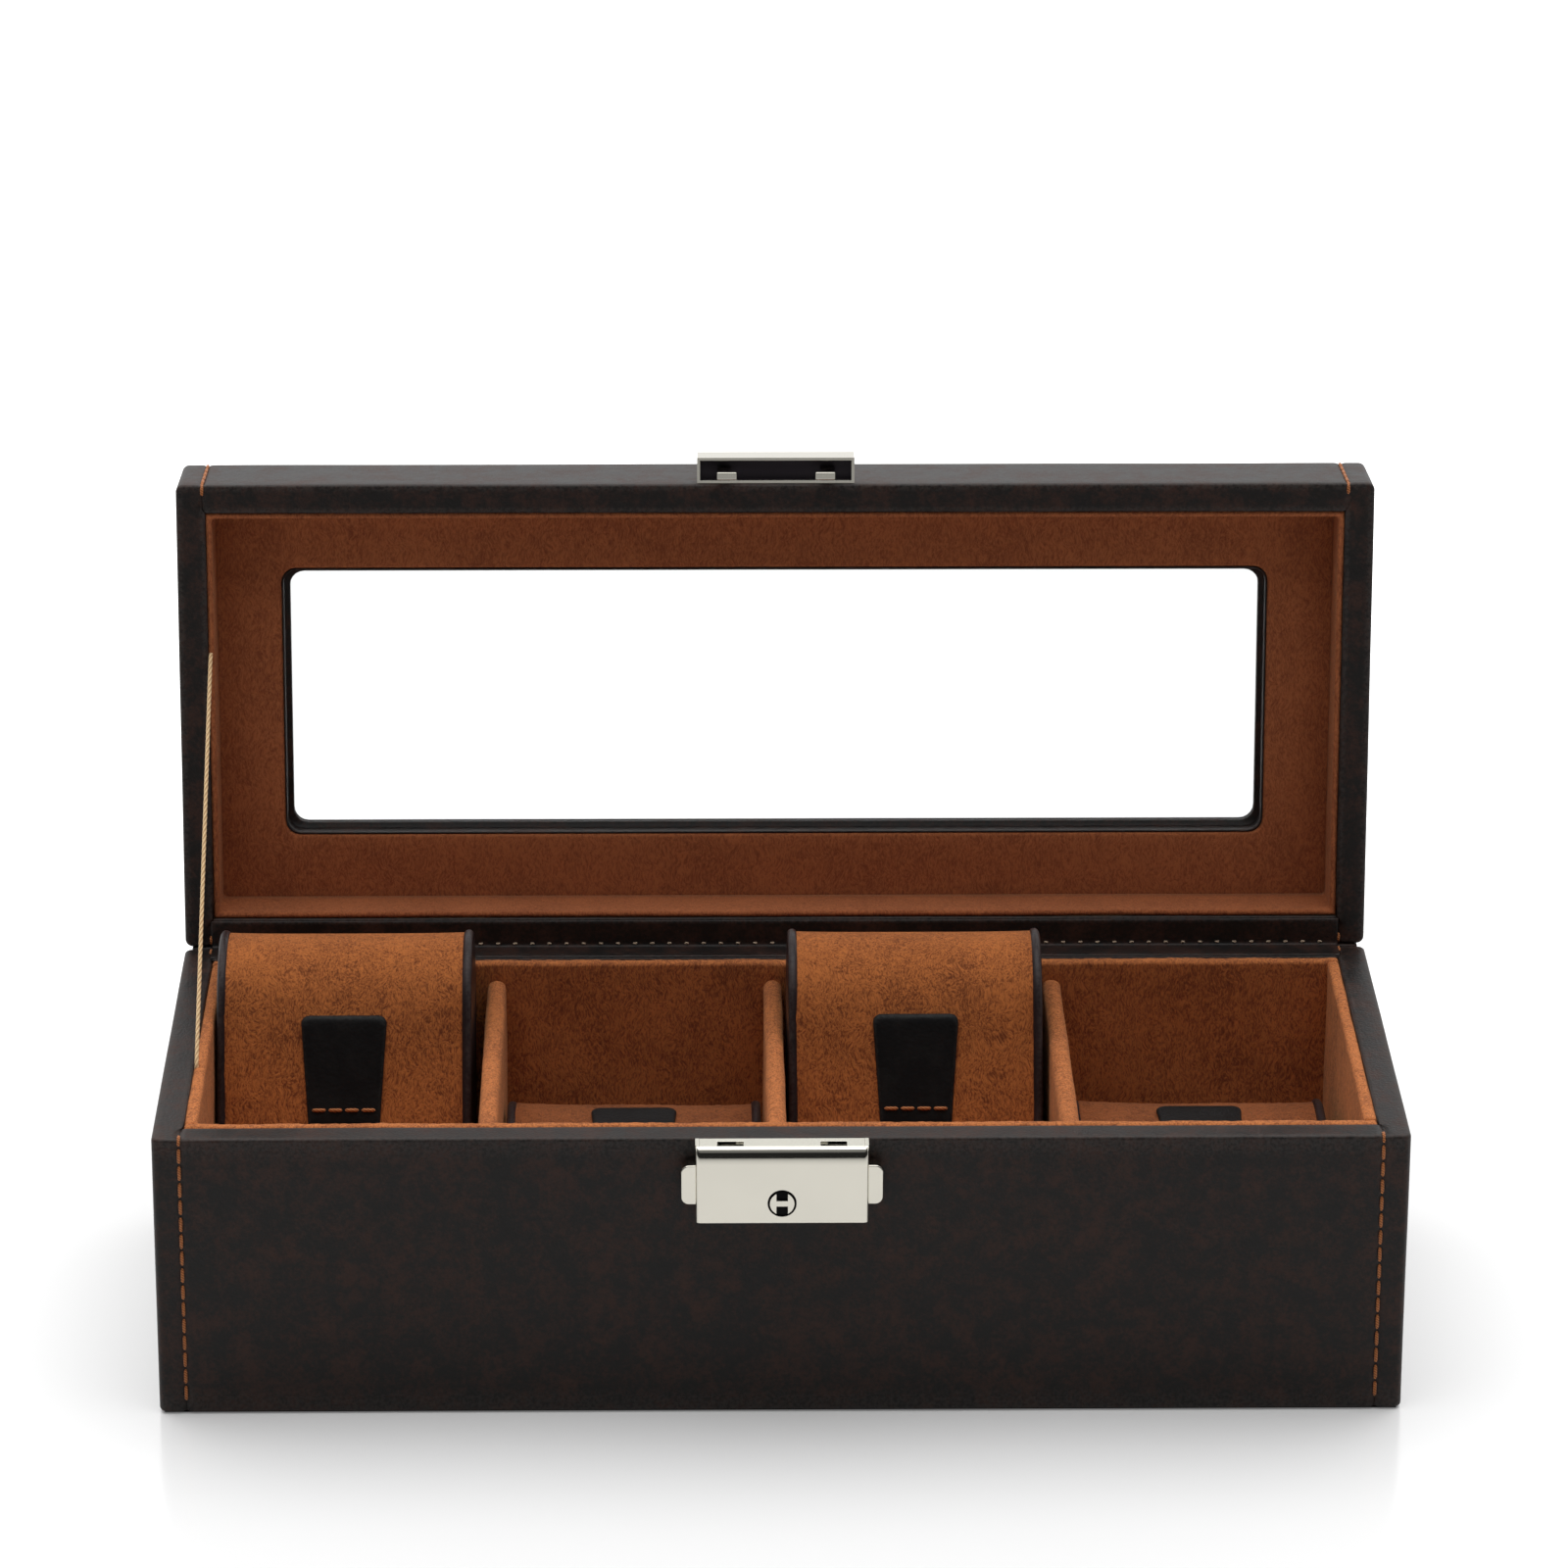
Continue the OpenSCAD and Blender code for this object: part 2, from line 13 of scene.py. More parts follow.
import bmesh
import bpy
import numpy as np
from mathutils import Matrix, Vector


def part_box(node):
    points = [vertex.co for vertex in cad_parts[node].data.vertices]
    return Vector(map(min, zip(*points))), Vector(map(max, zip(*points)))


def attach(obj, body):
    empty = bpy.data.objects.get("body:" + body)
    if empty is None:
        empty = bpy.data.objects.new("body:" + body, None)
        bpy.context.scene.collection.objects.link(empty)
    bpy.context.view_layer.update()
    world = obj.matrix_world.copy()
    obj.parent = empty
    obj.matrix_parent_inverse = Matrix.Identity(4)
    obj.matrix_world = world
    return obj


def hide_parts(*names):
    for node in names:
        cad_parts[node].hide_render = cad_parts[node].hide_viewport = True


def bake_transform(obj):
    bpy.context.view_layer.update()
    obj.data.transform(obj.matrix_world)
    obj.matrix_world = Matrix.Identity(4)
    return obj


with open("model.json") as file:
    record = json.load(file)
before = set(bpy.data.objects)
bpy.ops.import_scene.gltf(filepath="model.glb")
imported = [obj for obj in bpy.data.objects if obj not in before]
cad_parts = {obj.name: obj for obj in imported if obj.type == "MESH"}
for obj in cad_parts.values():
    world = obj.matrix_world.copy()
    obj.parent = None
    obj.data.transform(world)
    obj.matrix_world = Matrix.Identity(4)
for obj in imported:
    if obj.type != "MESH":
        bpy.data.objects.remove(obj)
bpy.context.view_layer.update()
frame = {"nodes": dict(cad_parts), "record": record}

LOG = logging.getLogger("watch_box")
MM = 0.001
WELD = 2e-6  # metres between points that become one
SHARP = math.radians(32)  # edges that turn further than this stay sharp
Array = np.ndarray
Colour = tuple[float, float, float]


# Grids and meshes


def grid_quads(rows: int, cols: int, loop_rows: bool = False, loop_cols: bool = False) -> Array:
    """Quads of a grid: each cell joins point (i, j) to its neighbours in the next row and column.

    Args:
        rows: Number of rows of points.
        cols: Number of points in a row.
        loop_rows: The last row joins on to the first.
        loop_cols: The last point of a row joins on to its first.

    Returns:
        Point numbers, four to a face.
    """
    i, j = np.meshgrid(
        np.arange(rows if loop_rows else rows - 1), np.arange(cols if loop_cols else cols - 1), indexing="ij"
    )
    k, m = (i + 1) % rows, (j + 1) % cols
    return np.stack([i * cols + j, k * cols + j, k * cols + m, i * cols + m], axis=-1).reshape(-1, 4)


def stack_of(*columns: Array) -> Array:
    """Joins arrays of X, Y and Z into an array of points."""
    return np.stack(np.broadcast_arrays(*columns), axis=-1).astype(float)


def unit(vectors: Array) -> Array:
    """Vectors scaled to a length of one."""
    return vectors / np.maximum(np.linalg.norm(vectors, axis=-1, keepdims=True), 1e-12)


def distances(path: Array) -> Array:
    """Distance of each point of a path from its start, along the path."""
    return np.concatenate([[0], np.cumsum(np.linalg.norm(np.diff(path, axis=0), axis=1))])


def linked(name: str, data: bpy.types.ID) -> bpy.types.Object:
    """A new object in the scene that holds a mesh, a light or a camera."""
    obj = bpy.data.objects.new(name, data)
    bpy.context.scene.collection.objects.link(obj)
    return obj


def shade_smooth(mesh: bpy.types.Mesh) -> None:
    """Shades every face of a mesh smooth."""
    mesh.polygons.foreach_set("use_smooth", np.ones(len(mesh.polygons), dtype=bool))


@dataclass
class Skin:
    """Grids of points that are joined into one closed mesh, each with a value from 0 to 1 for wear, which on
    the stay cord is painted shade between its strands.
    """

    points: list[Array] = field(default_factory=list)
    quads: list[Array] = field(default_factory=list)
    wear: list[Array] = field(default_factory=list)
    size: int = 0

    def add(self, grid: Array, loop_rows: bool = False, loop_cols: bool = False,
            wear: Array | float = 0.0) -> None:
        """Adds one grid.

        Args:
            grid: Points in millimetres, rows by columns by 3.
            loop_rows: The last row joins on to the first.
            loop_cols: The last column joins on to the first.
            wear: Wear of each point, or of them all.
        """
        rows, cols = grid.shape[:2]
        self.points.append(grid.reshape(-1, 3))
        self.wear.append(np.broadcast_to(wear, (rows, cols)).reshape(-1))
        self.quads.append(grid_quads(rows, cols, loop_rows, loop_cols) + self.size)
        self.size += rows * cols

    def add_rims(self, one: Array, other: Array) -> None:
        """Joins the four edges of one grid to those of another that has as many points."""
        for edge in (np.s_[0], np.s_[-1], np.s_[:, 0], np.s_[:, -1]):
            self.add(np.stack([one[edge], other[edge]]))

    def build(self, name: str) -> bpy.types.Object:
        """Joins the grids, closes their seams and poles, and turns every face outwards.

        Args:
            name: Name of the piece.

        Returns:
            The new object, which lies at the origin with its place in its mesh.
        """
        mesh = bpy.data.meshes.new(name)
        mesh.from_pydata((np.concatenate(self.points) * MM).tolist(), [], np.concatenate(self.quads).tolist())
        mesh.attributes.new("wear", "FLOAT", "POINT").data.foreach_set(
            "value", np.concatenate(self.wear).astype(np.float32)
        )
        merge(mesh)
        shade_smooth(mesh)
        return linked(name, mesh)


def vertex_places(mesh: bpy.types.Mesh) -> Array:
    """The places of a mesh's points, in metres."""
    places = np.empty(3 * len(mesh.vertices), np.float32)
    mesh.vertices.foreach_get("co", places)
    return places.reshape(-1, 3).astype(float)


def merge(mesh: bpy.types.Mesh, near: float = WELD) -> None:
    """Merges points that lie together, drops the faces that this leaves empty, and turns faces outwards."""
    work = bmesh.new()
    work.from_mesh(mesh)
    bmesh.ops.remove_doubles(work, verts=work.verts, dist=near)
    bmesh.ops.dissolve_degenerate(work, edges=work.edges, dist=near / 4)
    bmesh.ops.recalc_face_normals(work, faces=work.faces)
    work.to_mesh(mesh)
    work.free()


def ripple(points: Array, depth: float, length: float, seed: float = 0.0) -> Array:
    """A slow unevenness: a sum of five sine waves that run in different directions.

    Args:
        points: Places in millimetres.
        depth: Largest height of the unevenness.
        length: Length of the longest wave.
        seed: Shift that makes one piece differ from the next.

    Returns:
        Height at each place, from -depth to depth.
    """
    turns = np.array([[1.0, 0.3, 0.7], [-0.4, 1.1, 0.5], [0.8, -0.9, 1.2], [1.7, 0.6, -1.4],
                      [-1.2, 1.9, 1.5]])
    shifts = np.array([0.3, 1.7, 2.9, 4.1, 5.3]) + seed
    waves = np.sin(points @ turns.T * (2 * math.pi / length) + shifts)
    return depth * waves @ np.array([0.34, 0.26, 0.18, 0.13, 0.09])


def tufts(points: Array, depth: float = 0.11) -> Array:
    """The unevenness of a nap: three ripples, each shorter and shallower than the last."""
    ripples = ((1.0, 4.3, 0.4), (0.8, 2.3, 1.9), (0.5, 1.3, 3.1))
    return sum(ripple(points, share * depth, length, seed) for share, length, seed in ripples)


def edge_places(length: float, step: float, fine: Sequence[float]) -> Array:
    """Places along a length, with fine ones near both ends.

    Args:
        length: The whole length.
        step: Widest gap in the middle.
        fine: Distances from each end that get a place.

    Returns:
        Rising distances from 0 to the length.
    """
    low = np.array(fine)
    middle = np.linspace(low[-1], length - low[-1], max(2, math.ceil((length - 2 * low[-1]) / step) + 1))
    return np.concatenate([low[:-1], middle, (length - low[:-1])[::-1]])


def rounded_box(low: Array, high: Array, radius: float, step: Sequence[float], arcs: int = 3) -> list[Array]:
    """Six grids of a box with round edges.

    A place on the sharp box is first held inside the box that is smaller by the radius, and then moved out
    by the radius along the way that it was held. Grid lines near an edge lie at the tangents of equal angles.

    Args:
        low: Lowest corner.
        high: Highest corner.
        radius: Radius of the edges.
        step: Widest gap between the grid's lines along X, Y and Z.
        arcs: Steps round half of an edge.

    Returns:
        One grid for each side.
    """
    turn = radius * (1 - np.tan(np.linspace(math.pi / 4, 0, arcs + 1)))
    lines = []
    for a, b, gap in zip(low, high, step):
        count = max(2, math.ceil((b - a - 2 * radius) / gap) + 1)
        flat = np.linspace(a + radius, b - radius, count)
        lines.append(np.concatenate([a + turn[:-1], flat, b - turn[:-1][::-1]]))
    grids = []
    for axis in range(3):
        others = [k for k in range(3) if k != axis]
        u, v = np.meshgrid(lines[others[0]], lines[others[1]], indexing="ij")
        for side in (low[axis], high[axis]):
            points = np.empty(u.shape + (3,))
            points[..., others[0]], points[..., others[1]], points[..., axis] = u, v, side
            held = np.clip(points, low + radius, high - radius)
            grids.append(held + radius * unit(points - held))
    return grids


def crown(grids: list[Array], low: Array, high: Array, rise: Sequence[float]) -> list[Array]:
    """Swells a box: each side moves out by its rise, less (one minus the square) of the way to each edge.

    Args:
        grids: Grids of the box.
        low: Lowest corner.
        high: Highest corner.
        rise: How far the middles of the X, Y and Z sides move out.

    Returns:
        The swollen grids.
    """
    centre, half = (low + high) / 2, (high - low) / 2
    swollen = []
    for grid in grids:
        t = np.clip((grid - centre) / half, -1, 1)
        fall = 1 - t**2
        moved = grid.copy()
        for axis in range(3):
            a, b = [k for k in range(3) if k != axis]
            moved[..., axis] += rise[axis] * t[..., axis] * fall[..., a] * fall[..., b]
        swollen.append(moved)
    return swollen


def corner_loop(corners: Sequence[Sequence[float]], radii: Sequence[float], side: int = 12,
                arc: int = 6) -> Array:
    """A closed outline with round corners, as points that run round it once.

    Each corner gets an arc that touches both its sides, and the sides between the arcs are straight.

    Args:
        corners: Corners of a convex outline, anticlockwise.
        radii: Radius at each corner.
        side: Points along each straight side.
        arc: Points along each arc.

    Returns:
        Points, two numbers each, the same count for every outline with as many corners.
    """
    p = np.asarray(corners, float)
    r = np.asarray(radii, float)[:, None]
    back, on = unit(np.roll(p, 1, axis=0) - p), unit(np.roll(p, -1, axis=0) - p)
    half = np.arccos(np.clip((back * on).sum(1, keepdims=True), -1, 1)) / 2
    centre = p + unit(back + on) * r / np.sin(half)
    start = p + back * r / np.tan(half) - centre
    end = p + on * r / np.tan(half) - centre
    a0 = np.arctan2(start[:, 1], start[:, 0])
    sweep = (np.arctan2(end[:, 1], end[:, 0]) - a0) % (2 * math.pi)
    angles = a0[:, None] + sweep[:, None] * np.linspace(0, 1, arc)
    arcs = centre[:, None] + r[:, None] * np.stack([np.cos(angles), np.sin(angles)], axis=-1)
    share = np.linspace(0, 1, side + 2)[1:-1, None]
    sides = arcs[:, -1:] * (1 - share) + np.roll(arcs, -1, axis=0)[:, :1] * share
    return np.concatenate([arcs, sides], axis=1).reshape(-1, 2)


def rect_loop(width: float, depth: float, radius: float, side: int = 40, arc: int = 6) -> Array:
    """A rectangle about the origin with round corners, as a loop of points."""
    w, d = width / 2, depth / 2
    return corner_loop([[w, -d], [w, d], [-w, d], [-w, -d]], [radius] * 4, side, arc)


def ring(rows: Sequence[tuple[float, float, float, float]], side: int = 40) -> Array:
    """Rows of round-cornered rectangles, one above the other.

    Args:
        rows: Width, depth, corner radius and height of each.
        side: Points along each straight side.

    Returns:
        A grid whose columns close on themselves.
    """
    loops = [rect_loop(w, d, r, side) for w, d, r, _ in rows]
    return np.stack([stack_of(loop[:, 0], loop[:, 1], row[3]) for loop, row in zip(loops, rows)])


def smooth_rows(a: tuple[float, ...], b: tuple[float, ...], count: int) -> list[tuple[float, ...]]:
    """Rows that run evenly from one to the other, without the last."""
    return [tuple(row) for row in np.linspace(a, b, count, endpoint=False)]


def grown_rows(start: tuple[float, ...],
               steps: Sequence[tuple[float, float, float]]) -> list[tuple[float, ...]]:
    """Rows that differ from a first one.

    Args:
        start: Width, depth, corner radius and height of the first.
        steps: For each row, what it adds to the width and the depth, to the radius, and to the height.

    Returns:
        Width, depth, corner radius and height of each.
    """
    w, d, r, z = start
    return [(w + wide, d + wide, r + turn, z + up) for wide, turn, up in steps]


def tube(line: Array, first: Array, second: Array, radius: Array | float, sides: int) -> Array:
    """A grid round a line, drawn together at both its ends.

    A point at angle a lies at the line's point plus radius (first cos a + second sin a).

    Args:
        line: Points along the middle.
        first: Way across the line at each point.
        second: The other way across it.
        radius: Radius, or the radius at each point and angle.
        sides: Number of angles.

    Returns:
        The grid, whose columns close on themselves.
    """
    angle = np.linspace(0, 2 * math.pi, sides, endpoint=False)[None, :, None]
    body = line[:, None] + radius * (np.cos(angle) * first[:, None] + np.sin(angle) * second[:, None])
    ends = np.broadcast_to(line[[0, -1]][:, None], (2, sides, 3))
    return np.concatenate([ends[:1], body, ends[1:]])


# Sewing


@dataclass(frozen=True)
class Sewing:
    """A row of stitches: each is a short thread that rises out of the leather and goes back into it."""

    pitch: float = 4.75
    gap: float = 0.55
    radius: float = 0.47
    lift: float = 0.20
    taper: float = 0.75
    sink: float = 0.7
    sides: int = 6

    def sew(self, skin: Skin, path: Array, normals: Array, start: float = 0.4) -> int:
        """Sews along a path. A stitch's middle follows the path, raised by 1 - t^8, and its ends sink.

        Args:
            skin: Mesh that takes the stitches.
            path: Points along the seam.
            normals: The way out of the leather at each point.
            start: Distance of the first stitch from the path's start.

        Returns:
            Number of stitches.
        """
        along = distances(path)
        starts = np.arange(start, along[-1] - self.pitch + self.gap + 1e-6, self.pitch)
        t = np.array([-1, -0.92, -0.65, 0, 0.65, 0.92, 1])
        places = starts[:, None] + (t + 1) / 2 * (self.pitch - self.gap)
        centre = np.stack([np.interp(places, along, path[:, k]) for k in range(3)], axis=-1)
        out = unit(np.stack([np.interp(places, along, normals[:, k]) for k in range(3)], axis=-1))
        way = unit(np.gradient(centre, axis=1))
        side = np.cross(way, out)
        thick = self.radius * (1 - t**8 * self.taper)
        height = self.lift - (self.lift + self.radius * self.sink) * t**8
        angle = np.linspace(0, 2 * math.pi, self.sides, endpoint=False)
        across = np.cos(angle)[:, None] * side[:, :, None] + np.sin(angle)[:, None] * out[:, :, None]
        raised = centre[:, :, None] + height[None, :, None, None] * out[:, :, None]
        body = raised + thick[None, :, None, None] * across
        ends = body.mean(axis=2, keepdims=True)[:, [0, -1]] + 0 * body[:, [0, -1]]
        whole = np.concatenate([ends[:, :1], body, ends[:, 1:]], axis=1)
        for one in whole:
            skin.add(one, loop_cols=True)
        return len(starts)


# Leather panels that wrap a wall and turn over its rim


SEAM_START = 7  # the profile's first point that a seam's stitches follow
SEAM_LEAD = 0.2  # distance from there to the first stitch
BOX_CORNER = 2.0  # radius of the box's upright corners


def profile_faces(profile: Array) -> Array:
    """The way out of the leather at each point of a profile: out from the wall, and up."""
    slope = np.gradient(profile, axis=0)
    face = unit(np.stack([-slope[:, 1], -slope[:, 0]], axis=1))
    return -face if profile[-1, 1] > profile[0, 1] else face


@dataclass(frozen=True)
class Wrap:
    """Leather round the walls of a box, split at four seams that lie on its front and back."""

    half_x: float
    half_y: float
    corner: float
    seam_x: float
    thick: float = 0.95
    seam_depth: float = 0.42
    seam_width: float = 0.75
    seam_wear: float = 0.6
    seam_wear_width: float = 1.6
    edge_wear_width: float = 1.1
    edge_bend: float = 0.12
    wave: float = 0.09
    wave_length: float = 95.0
    fine: tuple[float, ...] = (0.0, 0.25, 0.5, 0.8, 1.2, 1.8, 2.8)

    def outline(self, side: bool) -> tuple[Array, Array, Array]:
        """The outer line of the right-hand panel, or of the front one.

        Args:
            side: Whether the panel is a side, which turns two corners.

        Returns:
            Points, their outward normals, and the distance of each from the nearer end.
        """
        if not side:
            s = edge_places(2 * self.seam_x, 7.0, self.fine)
            points = np.stack([s - self.seam_x, np.full_like(s, -self.half_y)], axis=1)
            return points, np.broadcast_to([0.0, -1.0], points.shape), np.minimum(s, s[-1] - s)
        fine = self.fine[:-1]
        lead = edge_places(self.half_x - self.corner - self.seam_x, 2.0, fine)[:1 - len(fine)]
        angle = np.radians(np.linspace(-90, 0, 9))
        arc = np.stack([np.cos(angle), np.sin(angle)], axis=1)
        run = np.linspace(-(self.half_y - self.corner), 0, 12)[1:]
        front = np.stack([self.seam_x + lead, np.full_like(lead, -self.half_y)], axis=1)
        bend = arc * self.corner + [self.half_x - self.corner, self.corner - self.half_y]
        straight = np.stack([np.full_like(run, self.half_x), run], axis=1)
        half = np.concatenate([front, bend, straight])
        half_n = np.concatenate([np.broadcast_to([0.0, -1.0], front.shape), arc,
                                 np.broadcast_to([1.0, 0.0], straight.shape)])
        points = np.concatenate([half, half[-2::-1] * [1, -1]])
        normals = np.concatenate([half_n, half_n[-2::-1] * [1, -1]])
        s = distances(points)
        return points, normals, np.minimum(s, s[-1] - s)

    def panel(self, skin: Skin, profile: Array, side: bool, turned: bool,
              place: Callable[[Array], Array]) -> None:
        """Adds one panel as a closed shell.

        A point of the profile is moved in from the outline along its normal, as far as the corner's radius,
        and then held inside the smaller sharp rectangle, so that the rim's corners are mitred. Near a seam
        the leather dips by the seam's depth times exp(-(distance / width)^2).

        Args:
            skin: Mesh that takes the panel.
            profile: Inset and height of each point, from the rim's inner edge outwards.
            side: Whether the panel is a side.
            turned: Whether it is the back or left-hand one, half a turn from the front or right-hand one.
            place: Puts finished points where they belong.
        """
        points, normals, ends = self.outline(side)
        inset, height = profile[:, 0], profile[:, 1]
        held = points[:, None] - normals[:, None] * np.minimum(inset, self.corner)[None, :, None]
        limit = np.stack([self.half_x - inset, self.half_y - inset], axis=1)
        flat = np.clip(held, -limit, limit)
        face = profile_faces(profile)
        column = flat.shape[:2] + (1,)
        out = np.concatenate([normals[:, None] * face[None, :, :1], np.broadcast_to(face[:, 1:], column)],
                             axis=2)
        outer = np.concatenate([flat, np.broadcast_to(height[:, None], column)], axis=2)
        dip = self.seam_depth * np.exp(-((ends / self.seam_width) ** 2))[:, None]
        outer = outer + out * (ripple(outer, self.wave, self.wave_length) - dip)[..., None]
        inner = outer - out * self.thick
        inner[..., 2] = np.clip(inner[..., 2], profile[:, 1].min() - 0.5, profile[:, 1].max() + 0.5)
        bent = np.abs(np.gradient(np.arctan2(face[:, 1], face[:, 0]))) > self.edge_bend
        length = distances(profile)
        near = np.abs(length[:, None] - length[None, bent]).min(axis=1)
        edge_wear = np.exp(-((near / self.edge_wear_width) ** 2))[None, :]
        seam_wear = self.seam_wear * np.exp(-((ends / self.seam_wear_width) ** 2))[:, None]
        if turned:
            outer, inner = outer * [-1, -1, 1], inner * [-1, -1, 1]
        outer, inner = place(outer), place(inner)
        skin.add(outer, wear=np.maximum(edge_wear, seam_wear))
        skin.add(inner[:, ::-1])
        skin.add_rims(outer, inner)

    def seam(self, profile: Array, x: float, turned: bool,
             place: Callable[[Array], Array]) -> tuple[Array, Array]:
        """The line of a seam over the rim and along the wall.

        Args:
            profile: Inset and height of each point.
            x: Where the seam lies.
            turned: Whether it is on the back.
            place: Puts finished points where they belong.

        Returns:
            Points along the seam and the ways out of the leather there.
        """
        face = profile_faces(profile)
        flip = -1 if turned else 1
        deep = 0.75 * self.seam_depth
        path = stack_of(np.full(len(profile), x), flip * (profile[:, 0] - self.half_y + deep * face[:, 0]),
                        profile[:, 1] - deep * face[:, 1])[SEAM_START:]
        out = stack_of(np.zeros(len(profile)), -flip * face[:, 0], face[:, 1])[SEAM_START:]
        tip = place(path + out) - place(path)
        return place(path), tip


def rim_profile(inner: float, rim: float, far: float, edge: float, up: bool) -> Array:
    """A profile from behind the lining, over the rim and its round edge, and along the wall.

    Args:
        inner: Inset of the rim's inner edge.
        rim: Height of the rim.
        far: Height at which the wall ends.
        edge: Radius of the outer edge.
        up: Whether the wall goes up from the rim, as on the lid.

    Returns:
        Inset and height of each point.
    """
    s = 1.0 if up else -1.0
    end_round = 1.2
    tuck = np.array([[inner, rim + s * 1.1], [inner - 0.02, rim + s * 0.5], [inner - 0.15, rim + s * 0.16],
                     [inner - 0.5, rim + s * 0.02]])
    flat = np.stack([np.linspace(inner - 1.0, edge, 6)[:-1], np.full(5, rim)], axis=1)
    angle = np.linspace(0, math.pi / 2, 7)
    turn = np.stack([edge * (1 - np.sin(angle)), rim + s * edge * (1 - np.cos(angle))], axis=1)
    low = rim + s * edge
    wall = np.stack([np.zeros(9), np.linspace(low, far - s * end_round, 10)[1:]], axis=1)
    last = np.linspace(0, math.pi / 2, 5)[1:]
    end = np.stack([end_round * (1 - np.cos(last)), far - s * end_round * (1 - np.sin(last))], axis=1)
    return np.concatenate([tuck, flat, turn, wall, end])


# Where things are


def corners(node: str) -> tuple[Array, Array]:
    """Lowest and highest corner of a CAD node at rest, in millimetres."""
    low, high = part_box(node)
    return np.array(low) / MM, np.array(high) / MM


@dataclass(frozen=True)
class Hinge:
    """The lid's hinge line and how far the lid stands open."""

    y: float
    z: float
    angle: float

    @classmethod
    def of_lid(cls) -> "Hinge":
        """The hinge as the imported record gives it."""
        joint = next(j for j in frame["record"]["behaviour"]["joints"] if j["name"] == "lid_hinge")
        return cls(joint["pos_m"][1] / MM, joint["pos_m"][2] / MM, math.radians(joint["range_deg"][1]))

    def opened(self, points: Array) -> Array:
        """Turns points of the closed lid about the hinge line, to where the open lid holds them.

        Args:
            points: Places on the closed lid.

        Returns:
            Y and Z turned back by the opening angle, with X as it was.
        """
        y, z = points[..., 1] - self.y, points[..., 2] - self.z
        c, s = math.cos(self.angle), math.sin(self.angle)
        return stack_of(points[..., 0], self.y + c * y + s * z, self.z - s * y + c * z)


def as_is(points: Array) -> Array:
    """Leaves points where they are."""
    return points


# Materials


def rgba(colour: Colour) -> tuple[float, float, float, float]:
    """A colour with full alpha."""
    return (*colour, 1.0)


